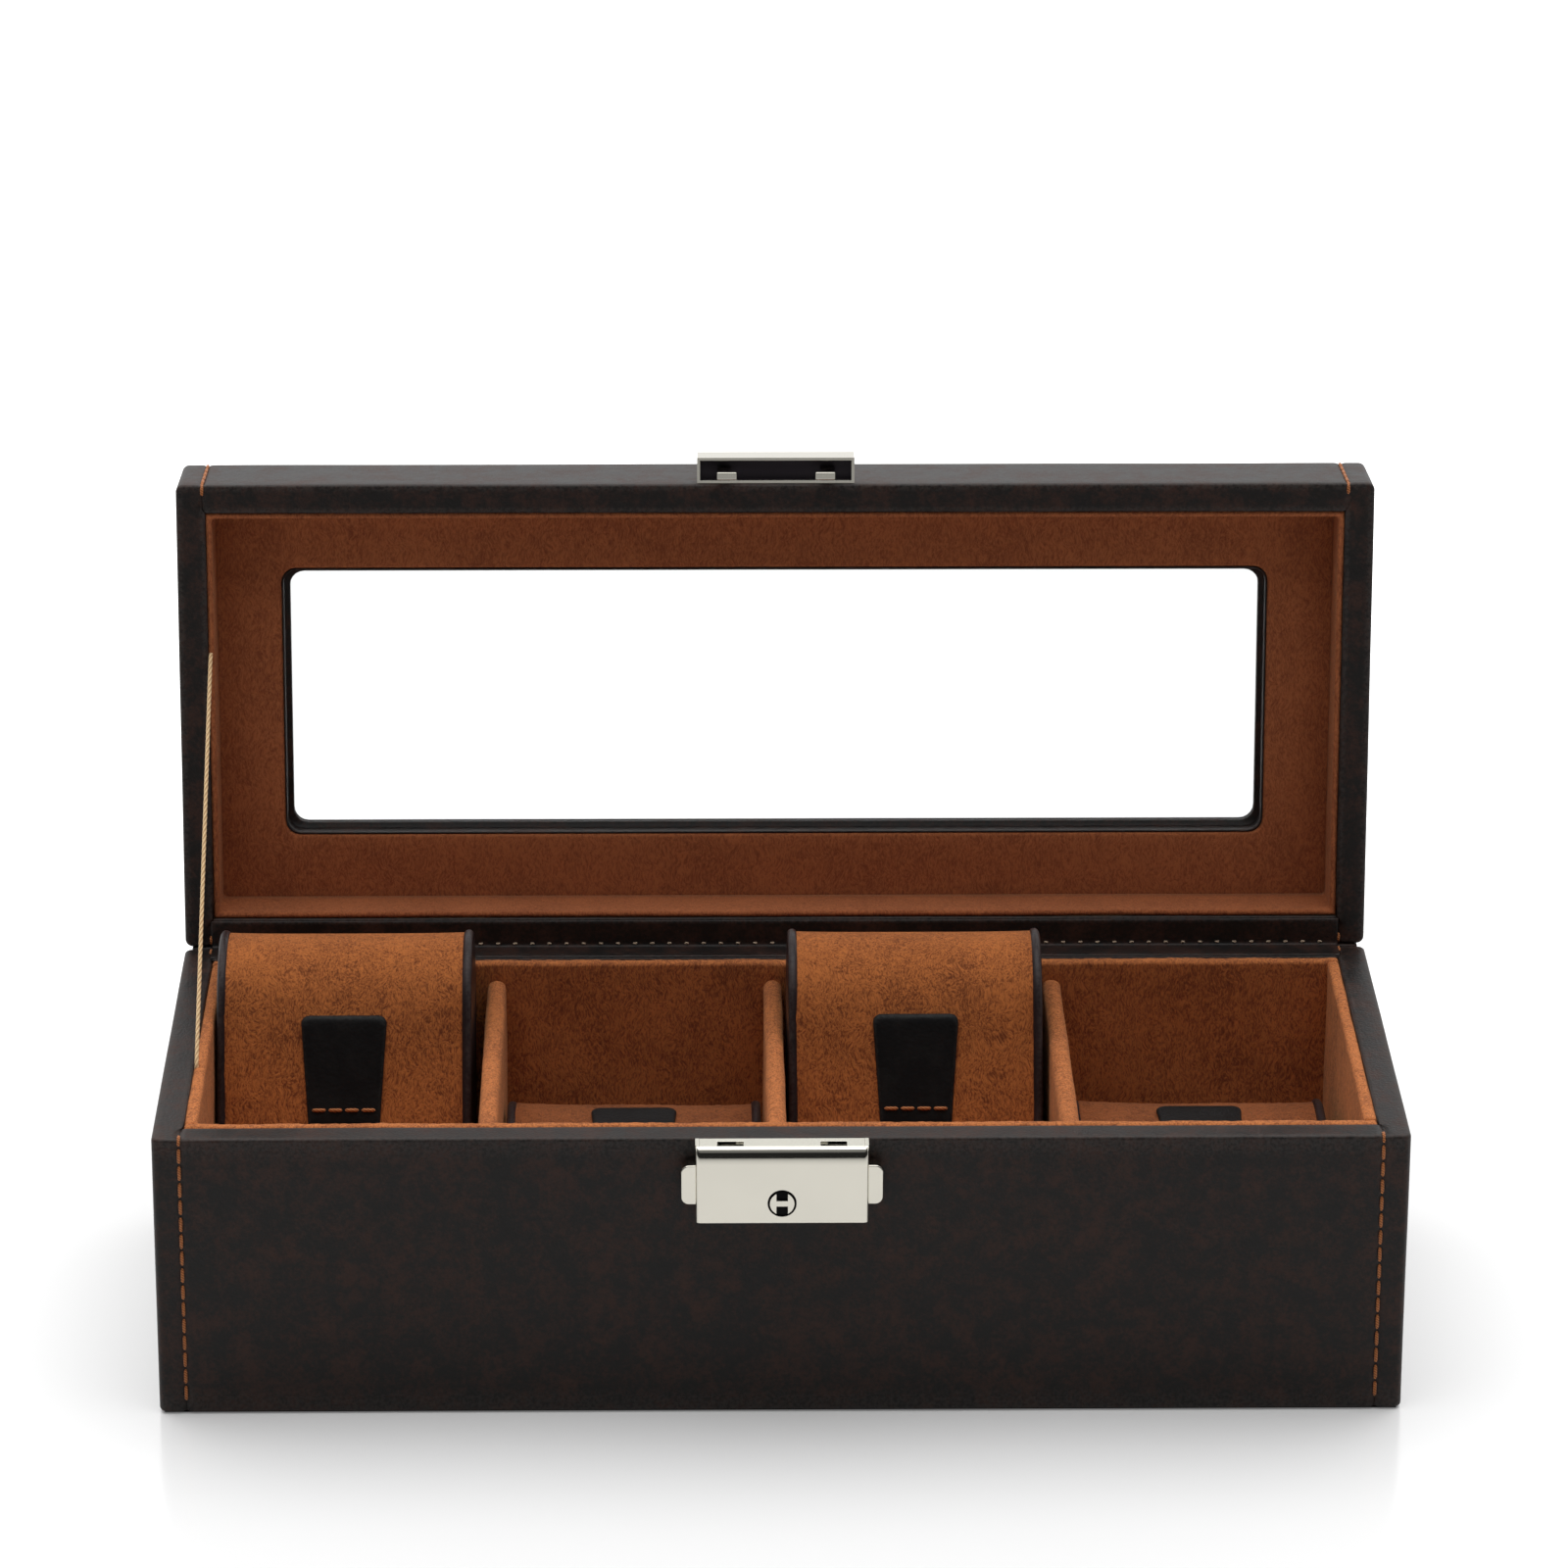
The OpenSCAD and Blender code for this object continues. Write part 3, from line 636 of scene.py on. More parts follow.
class Nodes:
    """A hand that lays out one node tree."""

    def __init__(self, tree: bpy.types.NodeTree) -> None:
        """Takes the tree that it works on."""
        self.tree = tree

    def add(self, kind: str, inputs: dict | None = None, **settings) -> bpy.types.Node:
        """Adds a node.

        Args:
            kind: Blender's name for the node.
            inputs: Value or linked socket for each input, by name or number.
            settings: Settings of the node itself.

        Returns:
            The node.
        """
        node = self.tree.nodes.new(kind)
        for name, value in settings.items():
            setattr(node, name, value)
        self.feed(node, inputs or {})
        return node

    def feed(self, node: bpy.types.Node, inputs: dict) -> None:
        """Sets or links a node's inputs, by name or number."""
        for key, value in inputs.items():
            if isinstance(value, bpy.types.NodeSocket):
                self.tree.links.new(value, node.inputs[key])
            else:
                node.inputs[key].default_value = value

    def math(self, operation: str, a, b=0.0) -> bpy.types.NodeSocket:
        """The result of a sum on two values."""
        return self.add("ShaderNodeMath", {0: a, 1: b}, operation=operation).outputs[0]

    def total(self, *shares: tuple) -> bpy.types.NodeSocket:
        """The sum of values that are each multiplied by a factor of their own."""
        parts = [self.math("MULTIPLY", value, factor) for value, factor in shares]
        whole = parts[0]
        for part in parts[1:]:
            whole = self.math("ADD", whole, part)
        return whole

    def mix(self, factor, a, b) -> bpy.types.NodeSocket:
        """A colour between two others."""
        return self.add("ShaderNodeMix", {0: factor, 6: a, 7: b}, data_type="RGBA").outputs[2]

    def ease(self, value, low: float, high: float, start: float = 0.0,
             end: float = 1.0) -> bpy.types.NodeSocket:
        """A value eased from start to end as it goes from low to high."""
        return self.add("ShaderNodeMapRange", {0: value, 1: low, 2: high, 3: start, 4: end},
                        interpolation_type="SMOOTHSTEP").outputs[0]

    def noise(self, vector, scale: float, detail: float = 2.0, rough: float = 0.5) -> bpy.types.NodeSocket:
        """Noise whose scale is in waves a metre."""
        return self.add("ShaderNodeTexNoise",
                        {"Vector": vector, "Scale": scale, "Detail": detail, "Roughness": rough}).outputs[0]

    def cells(self, vector, scale: float, feature: str) -> bpy.types.NodeSocket:
        """Distance in a pattern of cells whose scale is in cells a metre."""
        node = self.add("ShaderNodeTexVoronoi", {"Vector": vector, "Scale": scale}, feature=feature)
        return node.outputs["Distance"]

    def stretch(self, vector, factors: Colour) -> bpy.types.NodeSocket:
        """A vector multiplied along each axis."""
        return self.add("ShaderNodeVectorMath", {0: vector, 1: factors}, operation="MULTIPLY").outputs[0]

    def place(self) -> bpy.types.NodeSocket:
        """Object coordinates, in metres."""
        return self.add("ShaderNodeTexCoord").outputs["Object"]

    def parts(self, vector) -> bpy.types.bpy_prop_collection:
        """X, Y and Z of a vector."""
        return self.add("ShaderNodeSeparateXYZ", {0: vector}).outputs

    def bent(self, vector, scale: float, detail: float, amount: float) -> bpy.types.NodeSocket:
        """A vector shifted by noise, up to an amount in metres."""
        bend = self.add("ShaderNodeTexNoise", {"Vector": vector, "Scale": scale, "Detail": detail}).outputs[1]
        return self.add("ShaderNodeVectorMath", {0: bend, 1: (amount,) * 3, 2: vector},
                        operation="MULTIPLY_ADD").outputs[0]

    def bump(self, height, distance: float, strength: float) -> bpy.types.NodeSocket:
        """A normal tilted by a height, whose distance is in metres."""
        inputs = {"Height": height, "Distance": distance, "Strength": strength}
        return self.add("ShaderNodeBump", inputs).outputs[0]

    def own(self, attribute: str) -> bpy.types.NodeSocket:
        """The value of a mesh's own attribute."""
        return self.add("ShaderNodeAttribute", attribute_name=attribute).outputs["Fac"]

    def seen(self) -> bpy.types.NodeSocket:
        """1 for what the camera sees directly, and 0 for what lights other things."""
        return self.add("ShaderNodeLightPath").outputs["Is Camera Ray"]

    def use(self, effect: bpy.types.NodeTree, inputs: dict) -> bpy.types.bpy_prop_collection:
        """The outputs of a shared effect."""
        return self.add("ShaderNodeGroup", inputs, node_tree=effect).outputs


class Effect(Enum):
    """Effects that several materials share."""

    GRAIN = "leather_grain"
    NAP = "suede_nap"
    WEAR = "edge_wear"
    TWIST = "thread_twist"


def effect(kind: Effect) -> bpy.types.NodeTree:
    """A shared effect as a node group, built the first time that it is asked for.

    Args:
        kind: The effect.

    Returns:
        Its node group.
    """
    made = bpy.data.node_groups.get(kind.value)
    if made:
        return made
    setting, outputs, fill = {
        Effect.GRAIN: ("Pebble", ("Mottle", "Vein", "Height"), fill_grain),
        Effect.NAP: ("Patch", ("Tone", "Height"), fill_nap),
        Effect.WEAR: ("Edge", ("Mask",), fill_wear),
        Effect.TWIST: ("Pitch", ("Height",), fill_twist),
    }[kind]
    tree = bpy.data.node_groups.new(kind.value, "ShaderNodeTree")
    for name, socket in (("Vector", "NodeSocketVector"), (setting, "NodeSocketFloat")):
        tree.interface.new_socket(name, in_out="INPUT", socket_type=socket)
    for name in outputs:
        tree.interface.new_socket(name, in_out="OUTPUT", socket_type="NodeSocketFloat")
    start, end = tree.nodes.new("NodeGroupInput"), tree.nodes.new("NodeGroupOutput")
    nodes = Nodes(tree)
    for name, value in fill(nodes, start.outputs).items():
        tree.links.new(value, end.inputs[name])
    return tree


def fill_grain(n: Nodes, given: bpy.types.bpy_prop_collection) -> dict:
    """Leather grain: cloudy colour, fine cracks between bent cells, and a pebbled height.

    Args:
        n: Hand for the group's tree.
        given: The group's inputs.

    Returns:
        Output sockets by name.
    """
    vector = given["Vector"]
    cloud = n.noise(vector, 150.0, 6.0, 0.66)
    speck = n.noise(vector, 900.0, 4.0, 0.7)
    mottle = n.ease(n.total((cloud, 0.58), (speck, 0.42)), 0.42, 0.66)
    crack = n.cells(n.bent(vector, 90.0, 3.0, 0.012), 150.0, "DISTANCE_TO_EDGE")
    patch = n.ease(n.noise(vector, 38.0, 3.0), 0.46, 0.66)
    vein = n.math("MULTIPLY", n.ease(crack, 0.0, 0.055, 1.0, 0.0), patch)
    pebble = n.cells(vector, 1150.0, "F1")
    skin = n.noise(vector, 1900.0, 3.0, 0.6)
    slow = n.noise(vector, 210.0, 3.0, 0.55)
    pebbles = n.math("MULTIPLY", pebble, given["Pebble"])
    height = n.total((pebbles, -0.5), (skin, 0.45), (slow, 0.9), (vein, -0.10))
    return {"Mottle": mottle, "Vein": vein, "Height": height}


def fill_nap(n: Nodes, given: bpy.types.bpy_prop_collection) -> dict:
    """Suede nap: short fibres that lean along Z, in patches brushed one way or the other.

    Args:
        n: Hand for the group's tree.
        given: The group's inputs.

    Returns:
        Output sockets by name.
    """
    vector = given["Vector"]
    bent = n.bent(vector, 120.0, 2.0, 0.006)
    fibre = n.noise(n.stretch(bent, (1.0, 0.8, 0.32)), 2300.0, 4.0, 0.7)
    tuft = n.noise(n.stretch(bent, (1.0, 0.8, 0.45)), 700.0, 3.0, 0.6)
    brushed = n.noise(vector, 55.0, 3.0, 0.6)
    tone = n.total((fibre, 0.70), (tuft, 0.20), (brushed, given["Patch"]))
    return {"Tone": n.ease(tone, 0.40, 0.64), "Height": n.total((fibre, 0.7), (tuft, 0.6))}


def fill_wear(n: Nodes, given: bpy.types.bpy_prop_collection) -> dict:
    """Wear: the piece's own edge value, broken up by noise."""
    rub = n.noise(given["Vector"], 1000.0, 4.0, 0.65)
    broken = n.math("MULTIPLY", given["Edge"], n.ease(rub, 0.36, 0.62, 0.25, 1.0))
    return {"Mask": n.ease(broken, 0.12, 0.95)}


def fill_twist(n: Nodes, given: bpy.types.bpy_prop_collection) -> dict:
    """Twist: slanting ridges, the sine of the place along all three axes, roughened by fine noise."""
    x, y, z = n.parts(given["Vector"])
    wave = n.math("SINE", n.math("DIVIDE", n.total((x, 1.0), (y, 1.0), (z, 1.6)), given["Pitch"]))
    return {"Height": n.total((wave, 1.0), (n.noise(given["Vector"], 3000.0, 2.0), 0.6))}


@dataclass(frozen=True)
class Finish:
    """A named finish. The classes below say what each is made of."""

    name: str

    def lay(self, n: Nodes, shader: bpy.types.Node) -> None:
        """Lays out the finish round its shader."""
        raise NotImplementedError

    def material(self) -> bpy.types.Material:
        """The finish as a material, made the first time that it is asked for."""
        made = bpy.data.materials.get(self.name)
        if made:
            return made
        material = bpy.data.materials.new(self.name)
        material.use_nodes = True
        material.node_tree.nodes.clear()
        n = Nodes(material.node_tree)
        shader = n.add("ShaderNodeBsdfPrincipled")
        n.add("ShaderNodeOutputMaterial", {0: shader.outputs[0]})
        self.lay(n, shader)
        return material


@dataclass(frozen=True)
class Leather(Finish):
    """Smooth waxed leather with a cloudy colour, fine cracks and rubbed edges."""

    deep: Colour = (0.0120, 0.0104, 0.0098)
    warm: Colour = (0.044, 0.0205, 0.0150)
    vein: Colour = (0.075, 0.032, 0.019)
    rubbed: Colour = (0.085, 0.072, 0.066)
    gloss: float = 0.40
    pebble: float = 0.55
    depth: float = 0.00016
    shine: float = 0.22
    vein_share: float = 0.07
    rubbed_share: float = 0.32
    dulling: float = 0.10

    def lay(self, n: Nodes, shader: bpy.types.Node) -> None:
        """Colour from grain and wear, gloss that the wear dulls, and a grain bump."""
        place = n.place()
        grain = n.use(effect(Effect.GRAIN), {"Vector": place, "Pebble": self.pebble})
        worn = n.use(effect(Effect.WEAR), {"Vector": place, "Edge": n.own("wear")})["Mask"]
        colour = n.mix(grain["Mottle"], rgba(self.deep), rgba(self.warm))
        colour = n.mix(n.math("MULTIPLY", grain["Vein"], self.vein_share), colour, rgba(self.vein))
        colour = n.mix(n.math("MULTIPLY", worn, self.rubbed_share), colour, rgba(self.rubbed))
        dulled = n.total((grain["Mottle"], self.dulling), (worn, self.dulling))
        n.feed(shader, {"Base Color": colour, "Roughness": n.math("ADD", dulled, self.gloss),
                        "Normal": n.bump(grain["Height"], self.depth, 0.8), "Specular IOR Level": self.shine})


@dataclass(frozen=True)
class Suede(Finish):
    """Napped suede whose fibres catch the light."""

    light: Colour = (0.53, 0.170, 0.046)
    dark: Colour = (0.155, 0.043, 0.0165)
    sheen: Colour = (0.95, 0.55, 0.30)
    patch: float = 0.18
    depth: float = 0.00035

    def lay(self, n: Nodes, shader: bpy.types.Node) -> None:
        """Colour and bump from the nap, under a soft sheen."""
        nap = n.use(effect(Effect.NAP), {"Vector": n.place(), "Patch": self.patch})
        n.feed(shader, {"Base Color": n.mix(nap["Tone"], rgba(self.dark), rgba(self.light)),
                        "Roughness": 0.95, "Specular IOR Level": 0.15,
                        "Normal": n.bump(nap["Height"], self.depth, 0.9),
                        "Sheen Weight": 0.22, "Sheen Roughness": 0.45, "Sheen Tint": rgba(self.sheen)})


@dataclass(frozen=True)
class Metal(Finish):
    """Polished or plain metal with fine rubbing marks, and with painted shade that darkens its deep recesses.
    """

    colour: Colour = (0.775, 0.745, 0.655)
    gloss: float = 0.07
    # Box that gets painted shade, as lowest and highest corner in millimetres, then the shade's colour and
    # the width over which it fades in.
    shaded_recess: tuple[Colour, Colour] | None = None
    shade_colour: Colour = (0.004, 0.0035, 0.0035)
    shade_fade: float = 0.1
    smeared: float = 0.93

    def lay(self, n: Nodes, shader: bpy.types.Node) -> None:
        """Rubbing marks vary the gloss and a faint bump, and painted shade makes what lies in the given box
        dark and not metallic.
        """
        place = n.place()
        rub = n.noise(n.stretch(place, (0.25, 1.0, 1.0)), 900.0, 4.0, 0.6)
        smear = n.noise(place, 70.0, 3.0, 0.5)
        rough = n.math("ADD", n.total((rub, 0.05), (smear, 0.05)), self.gloss - 0.04)
        colour = n.mix(smear, rgba(self.colour), rgba(tuple(self.smeared * c for c in self.colour)))
        metal = 1.0
        if self.shaded_recess is not None:
            # Painted shade: 1 inside the box, fading to 0 across its edge; it darkens the colour and takes
            # away the metal.
            deep = 1.0
            for part, low, high in zip(n.parts(place), *self.shaded_recess):
                away = n.math("ABSOLUTE", n.math("SUBTRACT", part, (low + high) / 2 * MM))
                half = (high - low) / 2
                deep = n.math("MULTIPLY", deep, n.ease(away, half * MM, (half - self.shade_fade) * MM))
            colour = n.mix(deep, colour, rgba(self.shade_colour))
            metal = n.math("SUBTRACT", 1.0, deep)
        n.feed(shader, {"Base Color": colour, "Roughness": rough, "Metallic": metal,
                        "Normal": n.bump(rub, 0.000004, 0.5), "Specular IOR Level": 0.05})


@dataclass(frozen=True)
class Thread(Finish):
    """Twisted sewing thread or cord."""

    colour: Colour = (0.52, 0.175, 0.045)
    # Colour of the painted shade in the grooves between twists and strands.
    shade: Colour = (0.20, 0.055, 0.014)
    pitch: float = 0.00018
    by_groove: bool = False

    def lay(self, n: Nodes, shader: bpy.types.Node) -> None:
        """Twisted ridges, with painted shade between them; a cord takes its grooves, and so where its shade
        is painted, from its own shape.
        """
        twist = n.use(effect(Effect.TWIST), {"Vector": n.place(), "Pitch": self.pitch})["Height"]
        # Mix of the painted groove shade: 0 in a groove, 1 on a ridge.
        painted_shade_mix = n.own("wear") if self.by_groove else n.ease(twist, -0.9, 0.9)
        n.feed(shader, {"Base Color": n.mix(painted_shade_mix, rgba(self.shade), rgba(self.colour)), "Roughness": 0.62,
                        "Normal": n.bump(twist, 0.00005, 0.6), "Sheen Weight": 0.15,
                        "Specular IOR Level": 0.35})


@dataclass(frozen=True)
class Board(Finish):
    """Pressed wood board, and with other colours felt: short fibres in a flat mass."""

    light: Colour = (0.42, 0.29, 0.16)
    dark: Colour = (0.24, 0.155, 0.08)
    fibre: float = 700.0
    depth: float = 0.0002

    def lay(self, n: Nodes, shader: bpy.types.Node) -> None:
        """Colour and bump from stretched fibres and cloudy patches."""
        place = n.place()
        fibre = n.noise(n.stretch(place, (0.4, 1.0, 1.0)), self.fibre, 5.0, 0.7)
        cloud = n.noise(place, 45.0, 3.0, 0.5)
        tone = n.ease(n.total((fibre, 0.7), (cloud, 0.3)), 0.36, 0.64)
        n.feed(shader, {"Base Color": n.mix(tone, rgba(self.dark), rgba(self.light)), "Roughness": 0.92,
                        "Normal": n.bump(fibre, self.depth, 0.8), "Specular IOR Level": 0.2})


@dataclass(frozen=True)
class Glass(Finish):
    """Clear window glass with faint smears."""

    tint: Colour = (0.985, 0.995, 0.992)
    bending: float = 1.45

    def lay(self, n: Nodes, shader: bpy.types.Node) -> None:
        """Clear all through, with a gloss that faint smears vary."""
        smear = n.noise(n.place(), 30.0, 4.0, 0.6)
        n.feed(shader, {"Base Color": rgba(self.tint), "Roughness": n.ease(smear, 0.45, 0.8, 0.0, 0.03),
                        "Metallic": 0.0, "Transmission Weight": 1.0, "IOR": self.bending})


LEATHER = Leather("waxed_leather")
PILLOW_LEATHER = Leather("pillow_side_leather", deep=(0.020, 0.0130, 0.0140), warm=(0.032, 0.018, 0.018),
                         gloss=0.34, pebble=0.3)
TAB_LEATHER = Leather("pull_tab_leather", deep=(0.0062, 0.0062, 0.0066), warm=(0.0105, 0.0100, 0.0098),
                      vein=(0.02, 0.019, 0.018), rubbed=(0.045, 0.047, 0.046), gloss=0.50, pebble=0.8,
                      shine=0.15)
PILLOW_SUEDE = Suede("pillow_suede_nap")
BASE_SUEDE = Suede("base_suede_nap", light=(0.60, 0.205, 0.066), dark=(0.200, 0.062, 0.028))
LID_SUEDE = Suede("lid_suede_nap", light=(0.46, 0.148, 0.057), dark=(0.235, 0.071, 0.031))
# Painted shade: the pillow suede drawn darker for the lying pillows, whose nap faces the other way to the
# light.
SHADED_LYING_SUEDE = Suede("lying_pillow_suede_painted_shade", light=(0.30, 0.092, 0.030), dark=(0.10, 0.029, 0.013))
NICKEL = Metal("polished_nickel_plate")
STEEL = Metal("plain_steel_parts", colour=(0.52, 0.52, 0.51), gloss=0.26)
ORANGE_THREAD = Thread("orange_thread")
PALE_THREAD = Thread("pale_thread", colour=(0.55, 0.42, 0.30), shade=(0.2, 0.13, 0.08))
GOLD_CORD = Thread("gold_cord_strands", colour=(0.98, 0.72, 0.40), shade=(0.50, 0.24, 0.09), by_groove=True)
BOARD = Board("pressed_board")
FELT = Board("dark_felt", light=(0.020, 0.018, 0.017), dark=(0.009, 0.008, 0.008), fibre=1100.0)
GLASS = Glass("clear_glass")


class Body(Enum):
    """The bodies of the frame."""

    BASE = "base"
    LID = "lid"
    LEFT_BUTTON = "left_button"
    RIGHT_BUTTON = "right_button"
    KEY = "key"


def dress(obj: bpy.types.Object, finish: Finish, slot: str, body: Body | str | None,
          *nodes: str) -> bpy.types.Object:
    """Gives a new piece its finish and its body, and hides the CAD nodes that it stands for.

    Args:
        obj: The piece.
        finish: What it is made of.
        slot: The record's material slot; not used.
        body: Body that it rides on, or None for a piece that spans two bodies, which is left unattached.
        nodes: CAD nodes that it replaces.

    Returns:
        The same piece.
    """
    obj.data.materials.clear()
    obj.data.materials.append(finish.material())
    if body is not None:
        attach(obj, body.value if isinstance(body, Body) else body)
    if nodes:
        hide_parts(*nodes)
    LOG.info("%s: %d points in %s", obj.name, len(obj.data.vertices), finish.name)
    return obj


def refinish(finish: Finish, *nodes: str) -> None:
    """Gives CAD nodes that keep their shape a finish."""
    for node in nodes:
        obj = frame["nodes"][node]
        for used in obj.material_slots:
            used.material = finish.material()
        if not obj.material_slots:
            obj.data.materials.append(finish.material())
        LOG.info("%s: finished in %s", node, finish.name)


def softened_copy(name: str, node: str, width: float) -> bpy.types.Object:
    """A copy of a CAD node's shape with its edges rounded by a bevel.

    Args:
        name: Name of the new piece.
        node: CAD node that it copies.
        width: Width of the bevel.

    Returns:
        The new piece.
    """
    mesh = frame["nodes"][node].data.copy()
    mesh.name = name
    work = bmesh.new()
    work.from_mesh(mesh)
    bmesh.ops.remove_doubles(work, verts=work.verts, dist=WELD)
    bmesh.ops.dissolve_limit(work, angle_limit=math.radians(1), verts=work.verts, edges=work.edges)
    work.to_mesh(mesh)
    work.free()
    shade_smooth(mesh)
    mesh.set_sharp_from_angle(angle=SHARP)
    obj = linked(name, mesh)
    bevel = obj.modifiers.new("edges", "BEVEL")
    bevel.width, bevel.segments, bevel.limit_method = width * MM, 3, "ANGLE"
    bevel.angle_limit, bevel.harden_normals = SHARP, True
    return obj


# The studio


@dataclass(frozen=True)
class Studio:
    """Floor, lights and camera."""

    camera_place: Colour = (-23.05, -1614.56, 763.51)
    camera_turn: Colour = (69.157, -0.149, -0.805)
    lens: float = 153.3
    floor_size: float = 6000.0
    floor_drop: float = 0.05
    floor_colour: Colour = (0.93, 0.93, 0.93)
    glow_from: float = 0.07
    glow_to: float = 0.5
    glow_near: float = 0.13
    glow_far: float = 0.7
    sky_front: float = 0.22
    sky_low: float = -0.20

    def camera(self) -> None:
        """Places the camera, whose view is square."""
        data = bpy.data.cameras.new("view")
        data.lens, data.sensor_width, data.clip_end = self.lens, 36.0, 50.0
        obj = linked("view", data)
        obj.location = [MM * k for k in self.camera_place]
        obj.rotation_euler = [math.radians(k) for k in self.camera_turn]
        bpy.context.scene.camera = obj

    def floor(self) -> None:
        """Lays a pale floor with a soft gloss, which glows for the camera, more so behind the box."""
        half = self.floor_size / 2
        line = np.linspace(-half, half, 9)
        x, y = np.meshgrid(line, line, indexing="ij")
        skin = Skin()
        skin.add(stack_of(x, y, np.full_like(x, -self.floor_drop)))
        obj = skin.build("studio_floor")
        if obj.data.polygons[0].normal.z < 0:
            obj.data.flip_normals()
        material = bpy.data.materials.new("pale_floor")
        material.use_nodes = True
        shader = material.node_tree.nodes["Principled BSDF"]
        n = Nodes(material.node_tree)
        far = n.ease(n.parts(n.place())[1], self.glow_from, self.glow_to)
        glow = n.math("MULTIPLY", n.ease(far, 0.0, 1.0, self.glow_near, self.glow_far), n.seen())
        n.feed(shader, {"Base Color": rgba(self.floor_colour), "Roughness": 0.16, "Specular IOR Level": 0.9,
                        "Emission Color": rgba((1.0, 1.0, 1.0)), "Emission Strength": glow})
        obj.data.materials.append(material)

    def light(self, name: str, place: Colour, aim: Colour, size: float, power: float) -> None:
        """Hangs a soft square light.

        Args:
            name: Name of the light.
            place: Where it hangs.
            aim: What it shines at.
            size: Length of its side.
            power: Power in watts.
        """
        data = bpy.data.lights.new(name, "AREA")
        data.shape, data.size, data.energy = "SQUARE", size * MM, power
        obj = linked(name, data)
        obj.location = [MM * k for k in place]
        x, y, z = np.array(aim) - np.array(place)
        obj.rotation_euler = (math.atan2(math.hypot(x, y), -z), 0, math.atan2(y, x) - math.pi / 2)

    def sky(self) -> None:
        """Surrounds the scene with white, which is dim near the level in front, where the room is dark."""
        world = bpy.data.worlds.new("studio")
        world.use_nodes = True
        world.node_tree.nodes.clear()
        n = Nodes(world.node_tree)
        way = n.parts(n.add("ShaderNodeTexCoord").outputs["Generated"])
        front = n.ease(way[1], 0.35, -0.35)
        low = n.math("MULTIPLY", front, n.ease(way[2], 0.66, 0.36))
        dim = n.math("ADD", n.ease(front, 0.0, 1.0, 1.0, self.sky_front),
                     n.ease(low, 0.0, 1.0, 0.0, self.sky_low))
        strength = n.add("ShaderNodeMix", {0: n.seen(), 2: dim, 3: 1.0}).outputs[0]
        back = n.add("ShaderNodeBackground", {"Color": (1, 1, 1, 1), "Strength": strength})
        n.add("ShaderNodeOutputWorld", {0: back.outputs[0]})
        bpy.context.scene.world = world

    def build(self) -> None:
        """Sets up the whole studio."""
        self.camera()
        self.floor()
        self.sky()
        self.light("overhead", (0, 160, 1700), (0, 60, 0), 2200, 27)
        bpy.context.scene.view_settings.view_transform = "Standard"
        LOG.info("studio ready")


# The base


@dataclass
class Base:
    """Leather-covered boards, suede linings and dividers."""

    edge: float = 0.9
    lining_up: float = 0.95
    fine_step: float = 0.8
    step: float = 3.0
    wave: float = 0.16
    face_wave: float = 42.0
    top_wave: float = 23.0
    sewing: Sewing = field(default_factory=Sewing)

    def __post_init__(self) -> None:
        """Takes the base's sizes from the frame."""
        low, high = corners("base_front_leather")
        side_high = corners("base_right_leather")[1]
        self.top = high[2]
        self.bottom = low[2]
        self.wrap = Wrap(side_high[0], -low[1], BOX_CORNER, high[0])
        self.inset = -low[1] + high[1]
        self.profile = rim_profile(self.inset, self.top, self.bottom, self.edge, up=False)

    def leathers(self) -> None:
        """Covers the four walls, each with its own panel."""
        for name, side, turned in (("front", False, False), ("right", True, False), ("back", False, True),
                                   ("left", True, True)):
            skin = Skin()
            self.wrap.panel(skin, self.profile, side, turned, as_is)
            dress(skin.build(f"{name}_cover"), LEATHER, "leather", Body.BASE, f"base_{name}_leather")

    def seams(self) -> None:
        """Sews the four seams from the rim down to the bottom."""
        skin = Skin()
        for turned in (False, True):
            for x in (-self.wrap.seam_x, self.wrap.seam_x):
                path, out = self.wrap.seam(self.profile, x, turned, as_is)
                self.sewing.sew(skin, path, out, SEAM_LEAD)
        dress(skin.build("base_seam_stitches"), ORANGE_THREAD, "leather", Body.BASE)

    def lining(self, name: str, low: Array, high: Array, radius: float, rise: Sequence[float],
               *nodes: str) -> None:
        """Makes one padded lining board.

        Args:
            name: Name of the piece.
            low: Lowest corner.
            high: Highest corner.
            radius: Radius of its edges.
            rise: How far its sides swell.
            nodes: CAD nodes that it replaces.
        """
        skin = Skin()
        size = high - low
        long_x, long_y = size[0] > 5 * size[1], size[1] > 5 * size[0]
        step = (self.fine_step if long_x else self.step, self.fine_step if long_y else self.step, self.step)
        thin = int(np.argmin(size))
        for grid in crown(rounded_box(low, high, radius, step), low, high, rise):
            t = (grid - (low + high) / 2) / (size / 2)
            grid[..., thin] += np.sign(t[..., thin]) * ripple(grid, self.wave, self.face_wave, float(low[0]))
            nap = ripple(grid, self.wave, self.top_wave, float(low[1])) + tufts(grid)
            grid[..., 2] += nap * (t[..., 2] > 0.9)
            skin.add(grid)
        dress(skin.build(name), BASE_SUEDE, "base_suede", Body.BASE, *nodes)

    def linings(self) -> None:
        """Lines the walls and the floor, and sets the dividers."""
        for side in ("front", "back", "left", "right"):
            low, high = corners(f"base_{side}_lining")
            high[2] += self.lining_up
            self.lining(f"{side}_lining_pad", low, high, 1.1, (0, 0, 0), f"base_{side}_lining")
        low, high = corners("base_floor_lining")
        self.lining("floor_pad", low, high, 1.2, (0, 0, 0.35), "base_floor_lining")
        for n in (1, 2, 3):
            low, high = corners(f"divider_{n}")
            self.lining(f"bay_divider_{n}", low, high, 2.3, (0.15, 0, 0), f"divider_{n}")

    def build(self) -> None:
        """Builds the base."""
        self.leathers()
        self.seams()
        self.linings()
        refinish(BOARD, *(f"base_{part}_board" for part in ("front", "back", "left", "right", "floor")))
        refinish(FELT, "bottom_felt")


# The lid


